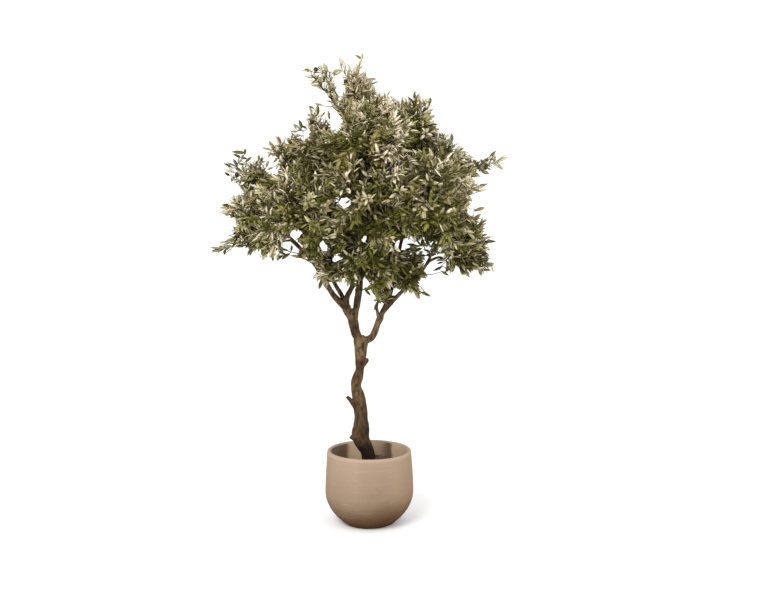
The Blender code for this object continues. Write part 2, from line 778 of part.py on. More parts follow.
    def add_twig(self, share, turn):
        """A straight twig from the stem with leaves along it, or one leaf where there's no room."""
        start = self.stem_point(share)
        angle = TWIG_ANGLE + self.dice.uniform(-TWIG_ANGLE_SPREAD, TWIG_ANGLE_SPREAD)
        direction = self.space.axis * math.cos(angle) + self.space.around(turn) * math.sin(angle)
        direction = (direction + Vector((0.0, 0.0, TWIG_LIFT))).normalized()
        reach = self.reach(start, direction)
        reach *= self.dice.uniform(TWIG_REACH_LEAST, TWIG_REACH_MOST)
        length = reach - self.leaf_length * 0.85
        roll = self.dice.uniform(0.0, math.pi)
        if length < SHORTEST_TWIG:
            self.add_end_leaf(start, direction, roll, min(reach, self.leaf_length), self.owns)
            return
        if not self.add_wood(start, direction, length):
            return
        self.wood.extend(start + direction * length * part for part in (0.4, 0.7, 0.95))
        places = (0.42, 0.80) if length > LONG_TWIG else (0.66,)
        for step, place in enumerate(places):
            point = start + direction * length * place
            self.add_pair(point, direction, roll + step * math.pi / 2, self.leaf_length)
        end = start + direction * (length - END_SINK)
        self.add_end_leaf(end, direction, roll, self.leaf_length, self.owns)

    def add_leaf_tips(self):
        """The outermost leaves, each from the nearest wood, by a short twig, to its own tip."""
        for tip in self.branch.leaf_tips:
            target = Vector(tip)
            start = min(self.wood, key=lambda point: (point - target).length)
            direction = (target - start).normalized()
            far = (target - start).length
            length = far - self.leaf_length * TIP_LEAF_SHARE
            if length > SHORTEST_TWIG:
                if not self.add_wood(start, direction, length):
                    continue
                start += direction * (length - END_SINK)
                far -= length - END_SINK
            self.add_end_leaf(start, direction, 0.0, far, self.vacant)

    def add_olive(self):
        """An olive that hangs from the wood nearest to its place."""
        if not self.branch.olive:
            return
        target = Vector(self.branch.olive)
        near = min(self.wood, key=lambda point: (point - target).length)
        shape = bmesh.new()
        bmesh.ops.create_icosphere(
            shape, subdivisions=1, radius=1.0,
            matrix=Matrix.LocRotScale(near - Vector((0, 0, OLIVE_SIZE.z * 0.8)), None, OLIVE_SIZE),
        )
        mesh = bpy.data.meshes.new("olive")
        shape.to_mesh(mesh)
        shape.free()
        if self.free(mesh):
            self.pieces.append(mesh)

    def grow(self):
        """The whole mass as one closed mesh."""
        self.add_stem()
        count = round(TWIGS_LEAST + TWIGS_PER_METRE * (self.space.half + self.space.girth))
        phase = self.dice.uniform(0.0, 2 * math.pi)
        for index in range(count):
            share = TWIG_FIRST + (TWIG_LAST - TWIG_FIRST) * index / (count - 1)
            spread = self.dice.uniform(-TWIG_TURN_SPREAD, TWIG_TURN_SPREAD)
            self.add_twig(share, phase + index * GOLDEN_ANGLE + spread)
        along = (self.space.tip - self.stem_end).normalized()
        roll = self.dice.uniform(0.0, math.pi)
        self.add_pair(self.stem_point(0.97), along, roll, self.leaf_length)
        foot = self.stem_end - along * END_SINK
        far = (self.space.tip - foot).length
        self.add_end_leaf(foot, along, roll + math.pi / 2, far, self.owns)
        self.add_leaf_tips()
        self.add_olive()
        return joined_mesh(f"{self.branch.name}_leaves", self.pieces, "MANIFOLD")


def near(limb, other):
    """Whether two limbs' tubes run into each other."""
    return bool(limb.tree.overlap(other.tree)) or any(
        (point - spot).length < radius + size
        for point, radius in limb.stations[:3]
        for spot, size in other.stations
    )


def main():
    clear_scene()
    tree = new_collection("potted_olive_tree")

    finish_object(place_object("pot", pot_mesh(), tree), STONEWARE)
    limbs = {"trunk": trunk_limb()}
    finish_object(place_object("soil", soil_mesh(limbs["trunk"]), tree), EARTH)
    finish_object(place_object("trunk", trunk_mesh(limbs["trunk"]), tree), BARK)

    limbs["left_limb"] = Limb("left_limb", stations_of(LEFT_LIMB), LIMB_SIDES)
    for branch in BRANCHES:
        limbs[branch.name] = bough_limb(branch, limbs)
    built = [limbs["trunk"]]
    for name, limb in limbs.items():
        if name == "trunk":
            continue
        cutters = [other.tube(f"{other.name}_cutter", GAP) for other in built if near(limb, other)]
        mesh = cut_mesh(name, limb.tube(name), cutters, "EXACT")
        node = name if name.endswith("limb") else f"{name}_bough"
        finish_object(place_object(node, mesh, tree), BARK)
        built.append(limb)

    spaces = [Space(branch) for branch in BRANCHES]
    masses = []
    for index, branch in enumerate(BRANCHES):
        growth = Growth(index, spaces, built, masses)
        mesh = growth.grow()
        masses.append(tree_of(mesh))
        finish_object(place_object(f"{branch.name}_leaves", mesh, tree), FOLIAGE, smooth=False)


if __name__ == "__main__":
    main()
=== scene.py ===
"""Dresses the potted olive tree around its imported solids.

The solids give every size and place. Here the pot is turned afresh with a rounded lip, the soil gets its
crumbs, the trunk, limbs and boughs get bark with relief, and each mass of foliage is grown again by the
solids' own rule, carried on to finer twigs, small leaves and hanging olives.
Metres, +Z up, the origin at the centre of the pot's underside, -Y towards the front. The tables of places
are in millimetres.
"""

import json
import logging
import math
import random
from contextlib import contextmanager
from dataclasses import dataclass, field
from enum import Enum
from typing import Any, Callable, Iterable, Iterator, Sequence

import bpy
import numpy as np
from mathutils import Matrix, Vector, noise

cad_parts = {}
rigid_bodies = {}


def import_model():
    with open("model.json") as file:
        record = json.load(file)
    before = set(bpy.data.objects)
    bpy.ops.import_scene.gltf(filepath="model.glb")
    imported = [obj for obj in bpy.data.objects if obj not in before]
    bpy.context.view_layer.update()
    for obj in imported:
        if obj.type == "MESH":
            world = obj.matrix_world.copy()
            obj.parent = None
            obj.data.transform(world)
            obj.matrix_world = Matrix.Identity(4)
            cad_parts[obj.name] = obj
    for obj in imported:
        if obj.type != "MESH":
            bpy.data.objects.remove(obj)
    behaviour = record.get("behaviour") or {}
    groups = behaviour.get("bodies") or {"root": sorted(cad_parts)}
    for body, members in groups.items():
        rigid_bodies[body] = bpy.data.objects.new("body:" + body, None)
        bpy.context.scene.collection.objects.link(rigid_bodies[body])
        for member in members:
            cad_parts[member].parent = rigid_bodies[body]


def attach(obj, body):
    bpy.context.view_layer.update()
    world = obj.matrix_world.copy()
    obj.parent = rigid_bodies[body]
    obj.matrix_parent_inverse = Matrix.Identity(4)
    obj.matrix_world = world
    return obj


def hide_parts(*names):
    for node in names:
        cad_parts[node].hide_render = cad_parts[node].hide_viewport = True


logging.basicConfig(level=logging.INFO, format="%(message)s")
LOG = logging.getLogger("olive_tree")

Colour = tuple[float, float, float]
Row = tuple[float, float, float]
Line = tuple[np.ndarray, np.ndarray]
Test = Callable[[np.ndarray, int], np.ndarray]
GOLDEN_ANGLE = math.radians(137.5)
TURN = 2 * math.pi
MILLI = 1000.0

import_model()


# ---------------------------------------------------------------- shader helpers


def math_operator(operation: str, swapped: bool = False) -> Callable[["Wire", Any], "Wire"]:
    """Makes an operator method that adds one Math node.

    Args:
        operation: Blender's name of the operation.
        swapped: Whether the wire is the second value.

    Returns:
        The method.
    """

    def method(wire: "Wire", other: Any) -> "Wire":
        """The node's result."""
        first, second = (other, wire) if swapped else (wire, other)
        return wire.shader.add("ShaderNodeMath", {"operation": operation}, {0: first, 1: second})

    return method


class Wire:
    """One output socket, with operators that add Math nodes."""

    __add__ = math_operator("ADD")
    __radd__ = math_operator("ADD", swapped=True)
    __sub__ = math_operator("SUBTRACT")
    __rsub__ = math_operator("SUBTRACT", swapped=True)
    __mul__ = math_operator("MULTIPLY")
    __rmul__ = math_operator("MULTIPLY", swapped=True)

    def __init__(self, shader: "Shader", socket: bpy.types.NodeSocket) -> None:
        """Wraps an output socket for the shader that owns it."""
        self.shader = shader
        self.socket = socket

    def clamped(self) -> "Wire":
        """The value kept from 0 to 1."""
        return self.shader.add("ShaderNodeClamp", {}, {"Value": self})

    def span(self, low: float, high: float) -> "Wire":
        """The share of the way from low to high, eased and kept from 0 to 1."""
        inputs = {"Value": self, "From Min": low, "From Max": high}
        return self.shader.add("ShaderNodeMapRange", {"interpolation_type": "SMOOTHSTEP"}, inputs)


class Shader:
    """A material under construction: its node tree, and short calls that fill it."""

    def __init__(self, name: str) -> None:
        """Makes the material with a plain Principled surface.

        Args:
            name: The material's name.
        """
        self.material = bpy.data.materials.new(name)
        self.material.use_nodes = True
        self.tree = self.material.node_tree
        self.surface = self.tree.nodes["Principled BSDF"]
        self.place = self.add("ShaderNodeTexCoord", {}, {}, "Object")

    def _fill(self, node: bpy.types.Node, inputs: dict[Any, Any]) -> None:
        """Links wires to a node's sockets and sets plain values there.

        Args:
            node: The node.
            inputs: Values or wires for its sockets, by name or number.
        """
        for name, value in inputs.items():
            socket = node.inputs[name]
            if isinstance(value, Wire):
                self.tree.links.new(value.socket, socket)
            else:
                socket.default_value = (*value, 1.0) if socket.type == "RGBA" else value

    def add(self, kind: str, settings: dict[str, Any], inputs: dict[Any, Any], output: Any = 0) -> Wire:
        """Adds one node.

        Args:
            kind: The node's type.
            settings: Properties set before anything is linked.
            inputs: Values or wires for its sockets, by name or number.
            output: The output to hand back, by name or number.

        Returns:
            The wrapped output.
        """
        node = self.tree.nodes.new(kind)
        for name, value in settings.items():
            setattr(node, name, value)
        self._fill(node, inputs)
        return Wire(self, node.outputs[output])

    def noise(self, scale: float, detail: float = 3.0, stretch: Row = (1.0, 1.0, 1.0)) -> Wire:
        """A soft noise about 0.5, of so many blotches in a metre, stretched for grain one way."""
        spot = self.add("ShaderNodeMapping", {}, {"Vector": self.place, "Scale": stretch})
        return self.add("ShaderNodeTexNoise", {}, {"Vector": spot, "Scale": scale, "Detail": detail})

    def along(self, axis: str) -> Wire:
        """One Object coordinate: X runs to the right, and Z is the height above the floor."""
        return self.add("ShaderNodeSeparateXYZ", {}, {0: self.place}, axis)

    def blend(self, first: Any, second: Any, share: Any) -> Wire:
        """A colour some share of the way from the first to the second, both colours or wires."""
        return self.add("ShaderNodeMix", {"data_type": "RGBA"}, {0: share, 6: first, 7: second}, 2)

    def finish(
        self, colour: Any, roughness: Any, bump: Any = None, depth: float = 0.001, sheen: float = 0.3
    ) -> bpy.types.Material:
        """Feeds the surface.

        Args:
            colour: A colour or a wire.
            roughness: A number or a wire.
            bump: A height from 0 to 1, or nothing.
            depth: The bump's depth in metres.
            sheen: How strongly the surface mirrors, 0.5 being usual.

        Returns:
            The material.
        """
        inputs = {"Base Color": colour, "Roughness": roughness, "Specular IOR Level": sheen}
        if bump is not None:
            relief = {"Strength": 1.0, "Distance": depth, "Height": bump}
            inputs["Normal"] = self.add("ShaderNodeBump", {}, relief)
        self._fill(self.surface, inputs)
        return self.material


# ---------------------------------------------------------------- finishes


@dataclass(frozen=True)
class Stoneware:
    """Rough unglazed clay: warm taupe with faint turning marks, and painted light and shade: paler upwards,
    darker towards the foot.
    """

    light: Colour = (0.350, 0.256, 0.186)
    body: Colour = (0.222, 0.154, 0.102)
    # The foot colour serves as painted shade towards the foot and down the middle, and as the clay's own
    # dark clouds and grains.
    foot: Colour = (0.060, 0.023, 0.003)
    ochre: Colour = (0.245, 0.160, 0.078)
    # The streak colour serves as the clay's pale streaks, and as a painted highlight round the lip.
    streak: Colour = (0.420, 0.330, 0.250)
    inner: Colour = (0.475, 0.342, 0.226)
    # Painted shadow on the inner wall.
    painted_shadow: Colour = (0.115, 0.074, 0.040)
    # Where the painted highlight round the lip begins and where it is full.
    lip_from: float = 0.298
    lip_full: float = 0.312
    ring_gap: float = 0.0075
    depth: float = 0.0011

    def material(self) -> bpy.types.Material:
        """The outside and the lip, with their painted light and shade."""
        shader = Shader("stoneware")
        height, across = shader.along("Z"), shader.along("X")
        # Painted light: the clay paler towards the top, where more light falls.
        colour = shader.blend(self.body, self.light, height.span(0.06, 0.34) * 0.75)
        colour = shader.blend(colour, self.ochre, across.span(0.04, 0.20) * 0.50)
        # Painted shade: a darker band down the middle, between the lit sides.
        middle = across.span(-0.07, 0.0) * (1.0 - across.span(0.05, 0.13))
        colour = shader.blend(colour, self.foot, middle * 0.13)
        # Painted shade towards the foot, reaching higher on the right side, away from the light.
        rise = height + shader.noise(12.0) * 0.03 - across.span(-0.03, 0.07) * 0.024
        colour = shader.blend(self.foot, colour, rise.span(0.006, 0.168))
        # Painted highlight: a paler band round the lip, where its top catches the light.
        colour = shader.blend(colour, self.streak, height.span(self.lip_from, self.lip_full) * 0.40)
        return self._grained(shader, colour)

    def inside(self) -> bpy.types.Material:
        """The inner wall, darkened at both sides by painted shadow."""
        shader = Shader("stoneware_inside")
        spot = shader.along("X") + (shader.noise(22.0, 2.0) * 0.02 - 0.01)
        # Painted shadow: the inner wall darker at its left and in a band at its right, where the wall and
        # the trunk shade it.
        left = (1.0 - spot.span(-0.106, -0.084)) * (0.75 + spot.span(-0.150, -0.110) * 0.25)
        right = spot.span(0.036, 0.086) * (1.0 - spot.span(0.094, 0.108))
        colour = shader.blend(self.inner, self.painted_shadow, (left + right).clamped() * 0.9)
        return self._grained(shader, colour)

    def _grained(self, shader: Shader, colour: Wire) -> bpy.types.Material:
        """Adds the clay's clouds, grains and turning marks.

        Args:
            shader: The material under construction.
            colour: Its colour so far.

        Returns:
            The material.
        """
        cloud = shader.noise(9.0, 4.0)
        grain = shader.noise(420.0, 3.0)
        streak = shader.noise(1.0, 3.0, (14.0, 14.0, 170.0))
        colour = shader.blend(colour, self.foot, cloud.span(0.55, 0.85) * 0.22)
        colour = shader.blend(colour, self.streak, streak.span(0.55, 0.80) * 0.22)
        colour = shader.blend(colour, self.foot, grain.span(0.60, 0.80) * 0.25)
        turn = shader.along("Z") * (TURN / self.ring_gap)
        rings = shader.add("ShaderNodeMath", {"operation": "SINE"}, {0: turn})
        relief = grain * 0.55 + streak * 0.35 + rings * 0.04 + cloud * 0.2
        return shader.finish(colour, 0.78 + grain * 0.2, relief, self.depth, 0.12)


@dataclass(frozen=True)
class Earth:
    """Dry reddish-brown soil."""

    dark: Colour = (0.030, 0.016, 0.010)
    light: Colour = (0.125, 0.058, 0.034)
    depth: float = 0.003

    def material(self) -> bpy.types.Material:
        """The soil, as a material."""
        shader = Shader("earth")
        lumps = shader.noise(90.0, 5.0)
        grains = shader.noise(600.0, 2.0)
        colour = shader.blend(self.dark, self.light, (lumps * 0.6 + grains * 0.4).span(0.38, 0.64))
        return shader.finish(colour, 0.95, lumps * 0.5 + grains * 0.5, self.depth)


@dataclass(frozen=True)
class Bark:
    """Brown bark with grey-olive patches, dark fissures along the limb, a dark foot, and painted shade low
    on the right.
    """

    name: str
    brown: Colour = (0.054, 0.027, 0.011)
    pale: Colour = (0.165, 0.105, 0.054)
    olive: Colour = (0.080, 0.058, 0.020)
    dark: Colour = (0.009, 0.005, 0.002)
    foot_full: float = 0.320
    foot_end: float = 0.372
    depth: float = 0.0028

    def material(self) -> bpy.types.Material:
        """The bark, as a material."""
        shader = Shader(self.name)
        patch = shader.noise(17.0, 4.0, (1.0, 1.0, 0.6))
        moss = shader.noise(21.0, 3.0, (1.0, 1.0, 0.6))
        blotch = shader.noise(72.0, 4.0, (1.0, 1.0, 0.5))
        grain = shader.noise(95.0, 4.0, (1.0, 1.0, 0.22))
        fleck = shader.noise(260.0, 3.0, (1.0, 1.0, 0.40))
        height, across = shader.along("Z"), shader.along("X")
        young = height.span(0.48, 0.72) * 0.35 + 0.60
        # The lower trunk, which gets painted shade below.
        lower_trunk = 1.0 - height.span(0.46, 0.62)
        foot = 1.0 - height.span(self.foot_full, self.foot_end)
        colour = shader.blend(self.brown, self.pale, patch.span(0.36, 0.66) * young)
        colour = shader.blend(colour, self.olive, moss.span(0.52, 0.68) * 0.55)
        for shade in (
            (1.0 - blotch.span(0.36, 0.52)) * 0.60,
            (1.0 - grain.span(0.34, 0.50)) * 0.62,
            (1.0 - fleck.span(0.30, 0.44)) * 0.55,
            # Painted shade: the lower trunk darker, and its right side, away from the light, more so.
            lower_trunk * (across.span(-0.050, -0.015) * 0.30 + 0.14),
            foot * 0.85,
        ):
            colour = shader.blend(colour, self.dark, shade)
        relief = grain * 0.65 + fleck * 0.35
        return shader.finish(colour, 0.85 + fleck * 0.15, relief, self.depth, 0.15)


@dataclass(frozen=True)
class Twiggy:
    """Young grey-green to brown bark of the thin twigs."""

    brown: Colour = (0.070, 0.045, 0.018)
    green: Colour = (0.100, 0.090, 0.030)

    def material(self) -> bpy.types.Material:
        """The twigs' bark, as a material."""
        shader = Shader("twig_bark")
        colour = shader.blend(self.brown, self.green, shader.noise(24.0, 2.0).span(0.42, 0.60))
        return shader.finish(colour, 0.75, sheen=0.15)


@dataclass(frozen=True)
class LeafTint:
    """One kind of leaf: its upper side, its pale underside, and how satin it is."""

    name: str
    upper: Colour
    under: Colour
    roughness: float = 0.72
    cloud_share: float = 0.76

    def materials(self) -> list[bpy.types.Material]:
        """The upper side's and the underside's material."""
        made = []
        for side, colour in (("upper", self.upper), ("under", self.under)):
            shader = Shader(f"leaf_{self.name}_{side}")
            darker = tuple(channel * self.cloud_share for channel in colour)
            shade = shader.blend(colour, darker, shader.noise(60.0, 2.0).span(0.40, 0.62))
            made.append(shader.finish(shade, self.roughness, sheen=0.10))
        return made


@dataclass(frozen=True)
class OliveSkin:
    """Ripe olive skin: near-black purple with a bloom."""

    dark: Colour = (0.010, 0.006, 0.008)
    plum: Colour = (0.040, 0.014, 0.020)

    def material(self) -> bpy.types.Material:
        """The skin, as a material."""
        shader = Shader("olive_skin")
        cloud = shader.noise(110.0, 3.0)
        colour = shader.blend(self.dark, self.plum, cloud.span(0.40, 0.65))
        return shader.finish(colour, 0.30 + cloud * 0.25)


class Tint(Enum):
    """The kinds of leaf that the crown mixes, one joined piece each."""

    DARK = LeafTint("dark", (0.064, 0.065, 0.008), (0.200, 0.172, 0.080))
    DEEP = LeafTint("deep", (0.112, 0.110, 0.017), (0.300, 0.260, 0.130))
    MID = LeafTint("mid", (0.182, 0.172, 0.038), (0.410, 0.355, 0.195))
    OLIVE = LeafTint("olive", (0.275, 0.230, 0.080), (0.510, 0.435, 0.265))
    BRIGHT = LeafTint("bright", (0.370, 0.350, 0.135), (0.570, 0.510, 0.310))
    SAGE = LeafTint("sage", (0.530, 0.462, 0.275), (0.670, 0.585, 0.400))
    CREAM = LeafTint("cream", (0.760, 0.650, 0.460), (0.810, 0.705, 0.520))


class Hold(Enum):
    """What a leaf has to keep to."""

    SPACE = "its mass's space, and out of the windows"
    WINDOWS = "out of the windows only"
    NOTHING = "nothing, as it is placed by hand"


@dataclass(frozen=True)
class Patch:
    """A soft round part of the crown, seen from the front, that is paler or darker than the rest: partly
    painted light and shade.
    """

    x: float
    z: float
    radius: float
    paler: float


# Paler and darker parts of the crown: partly the leaves' own tint, partly painted light and shade.
PATCHES: tuple[Patch, ...] = tuple(Patch(*row) for row in (
    (-0.04, 1.89, 0.2, 1.2), (-0.22, 1.9, 0.08, 0.95), (-0.18, 1.72, 0.11, 0.5), (0.29, 1.68, 0.12, 0.5),
    (0.36, 1.5, 0.18, 0.25), (0.47, 1.39, 0.08, 0.65), (0.04, 1.54, 0.09, 0.7), (0.14, 1.44, 0.12, 0.15),
    (-0.37, 1.6, 0.11, 0.7), (-0.58, 1.5, 0.1, 0.35), (-0.55, 1.38, 0.1, 0.3), (0.47, 1.29, 0.1, 0.4),
    (-0.31, 1.28, 0.1, 0.45), (-0.59, 1.28, 0.13, 0.42), (-0.2, 1.17, 0.08, 0.22),
    (0.5, 1.18, 0.1, 0.42), (-0.13, 1.53, 0.12, -0.9), (-0.44, 1.24, 0.09, -0.45),
    (0.25, 1.21, 0.17, -0.75), (0.06, 1.02, 0.1, -0.75), (0.13, 1.04, 0.09, -0.6),
))


# ---------------------------------------------------------------- mesh helpers


def deselect_all() -> None:
    """Leaves object mode with nothing selected."""
    if bpy.context.mode != "OBJECT":
        bpy.ops.object.mode_set(mode="OBJECT")
    bpy.ops.object.select_all(action="DESELECT")


def make_active(piece: bpy.types.Object) -> None:
    """Selects one object alone.

    Args:
        piece: The object.
    """
    deselect_all()
    piece.select_set(True)
    bpy.context.view_layer.objects.active = piece


def primitive(add: Callable[..., Any], name: str, **settings: Any) -> bpy.types.Object:
    """Adds one of Blender's own shapes at the origin.

    Args:
        add: The operator that adds it.
        name: The object's name.
        settings: The operator's settings.

    Returns:
        The object, active.
    """
    deselect_all()
    add(**settings)
    piece = bpy.context.active_object
    piece.name = name
    return piece


@contextmanager
def edit_mode() -> Iterator[None]:
    """Edit mode with the whole of the active mesh selected, for the length of a with block."""
    bpy.ops.object.mode_set(mode="EDIT")
    bpy.ops.mesh.select_all(action="SELECT")
    yield
    bpy.ops.object.mode_set(mode="OBJECT")


def extrude_ring(rise: float, share: float, height: float) -> None:
    """Extrudes the selected ring by a rise, and sizes the new one, at its height, by a share."""
    bpy.ops.mesh.extrude_region_move(TRANSFORM_OT_translate={"value": (0.0, 0.0, rise)})
    bpy.ops.transform.resize(value=(share, share, 1.0), center_override=(0.0, 0.0, height))


def apply_modifier(piece: bpy.types.Object, kind: str, **settings: Any) -> None:
    """Adds a modifier and applies it.

    Args:
        piece: The object.
        kind: Blender's name of the modifier's type.
        settings: Its properties.
    """
    make_active(piece)
    modifier = piece.modifiers.new(kind.title(), kind)
    for name, value in settings.items():
        setattr(modifier, name, value)
    bpy.ops.object.modifier_apply(modifier=modifier.name)


def link_new(name: str, data: Any) -> bpy.types.Object:
    """Makes an object of some data and links it to the scene.

    Args:
        name: The object's name.
        data: A mesh, a curve, a camera or a light.

    Returns:
        The object.
    """
    made = bpy.data.objects.new(name, data)
    bpy.context.scene.collection.objects.link(made)
    return made


def read_all(rows: Any, name: str, kind: type = np.int32, width: int = 1) -> np.ndarray:
    """One property of all rows of a mesh's collection.

    Args:
        rows: The collection.
        name: The property.
        kind: The type of its values.
        width: How many values each row has.

    Returns:
        The values in one line.
    """
    flat = np.empty(len(rows) * width, kind)
    rows.foreach_get(name, flat)
    return flat


def points_of(piece: bpy.types.Object) -> np.ndarray:
    """The vertices of a mesh object, one row of x, y and z for each."""
    return read_all(piece.data.vertices, "co", np.float32, 3).reshape(-1, 3).astype(float)


def normals_of(piece: bpy.types.Object) -> np.ndarray:
    """The vertex normals of a mesh object, one row for each."""
    return read_all(piece.data.vertex_normals, "vector", np.float32, 3).reshape(-1, 3).astype(float)


def move_points(piece: bpy.types.Object, points: np.ndarray) -> None:
    """Gives a mesh object new vertex places, one row for each."""
    piece.data.vertices.foreach_set("co", points.astype(np.float32).ravel())
    piece.data.update()


def hand_over(
    piece: bpy.types.Object,
    materials: Iterable[bpy.types.Material],
    nodes: Iterable[str] = (),
    smooth: bool = True,
) -> None:
    """Dresses a finished piece, rides it on the tree's body and hides the solids that it stands for.

    Args:
        piece: The object, with its place in its mesh.
        materials: Its materials, in the order of its faces' slots.
        nodes: The solids that the piece replaces.
        smooth: Whether all its faces are shaded smooth.
    """
    for material in materials:
        piece.data.materials.append(material)
    if smooth:
        piece.data.shade_smooth()
    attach(piece, "root")
    named = list(nodes)
    if named:
        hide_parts(*named)
    LOG.info("%s: %d faces", piece.name, len(piece.data.polygons))


def tubes(name: str, lines: Sequence[Line], sides: int) -> bpy.types.Object:
    """Round tubes along many lines, as one mesh object.

    Args:
        name: The object's name.
        lines: For each tube its points and its radii.
        sides: 4, 6, 8 or more, even.

    Returns:
        The object.
    """
    curve = bpy.data.curves.new(name, "CURVE")
    curve.dimensions = "3D"
    curve.bevel_depth = 1.0
    curve.bevel_resolution = (sides - 4) // 2
    curve.use_fill_caps = True
    for points, radii in lines:
        spline = curve.splines.new("POLY")
        spline.points.add(len(points) - 1)
        spline.points.foreach_set("co", np.column_stack([points, np.ones(len(points))]).ravel())
        spline.points.foreach_set("radius", np.asarray(radii, float))
    make_active(link_new(name, curve))
    bpy.ops.object.convert(target="MESH")
    return bpy.context.view_layer.objects.active


@dataclass(frozen=True)
class Shape:
    """A small mesh that is copied many times: points, faces as rows of corners, and each face's slot."""

    points: np.ndarray
    corners: np.ndarray
    starts: np.ndarray
    totals: np.ndarray
    slots: np.ndarray

    @staticmethod
    def of(piece: bpy.types.Object) -> "Shape":
        """Reads a modelled object and removes it.

        Args:
            piece: A mesh object.

        Returns:
            Its shape.
        """
        faces = piece.data.polygons
        corners = read_all(piece.data.loops, "vertex_index")
        rows = (read_all(faces, name) for name in ("loop_start", "loop_total", "material_index"))
        made = Shape(points_of(piece), corners, *rows)
        bpy.data.objects.remove(piece, do_unlink=True)
        return made


def joined_copies(
    name: str, shapes: Sequence[Shape], picks: np.ndarray, frames: np.ndarray, feet: np.ndarray
) -> bpy.types.Object:
    """One mesh object that holds a copy of a shape at each place.

    Args:
        name: The object's name.
        shapes: The shapes to choose from.
        picks: Which shape each copy takes.
        frames: For each copy three columns, what its x, y and z become.
        feet: Where each copy's origin goes.

    Returns:
        The object.
    """
    points, corners, starts, totals, slots = [], [], [], [], []
    offset, loops = 0, 0
    for index, shape in enumerate(shapes):
        chosen = np.flatnonzero(picks == index)
        if not len(chosen):
            continue
        spots = np.einsum("nij,vj->nvi", frames[chosen], shape.points) + feet[chosen][:, None, :]
        points.append(spots.reshape(-1, 3))
        step = np.arange(len(chosen))[:, None]
        corners.append((shape.corners[None, :] + offset + step * len(shape.points)).ravel())
        starts.append((shape.starts[None, :] + loops + step * len(shape.corners)).ravel())
        totals.append(np.tile(shape.totals, len(chosen)))
        slots.append(np.tile(shape.slots, len(chosen)))
        offset += len(chosen) * len(shape.points)
        loops += len(chosen) * len(shape.corners)
    mesh = bpy.data.meshes.new(name)
    mesh.vertices.add(offset)
    mesh.vertices.foreach_set("co", np.concatenate(points).astype(np.float32).ravel())
    mesh.loops.add(loops)
    mesh.loops.foreach_set("vertex_index", np.concatenate(corners).astype(np.int32))
    mesh.polygons.add(sum(len(part) for part in starts))
    for key, parts in (("loop_start", starts), ("loop_total", totals), ("material_index", slots)):
        mesh.polygons.foreach_set(key, np.concatenate(parts).astype(np.int32))
    mesh.update(calc_edges=True)
    return link_new(name, mesh)


# ---------------------------------------------------------------- the plan of the tree


@dataclass(frozen=True)
class Branch:
    """A bough and the spindle-shaped space of the mass at its tip, as in the solids, in millimetres."""

    name: str
    parent: str
    at: float
    root: Row
    tip: Row
    girth: float
    via: tuple[Row, ...] = ()
    radius: float = 0.0
    olive: tuple[float, ...] = ()
    leaf_tips: tuple[Row, ...] = ()

    @property
    def node(self) -> str:
        """The name of the bough's solid."""
        return self.name if self.name.endswith("limb") else f"{self.name}_bough"


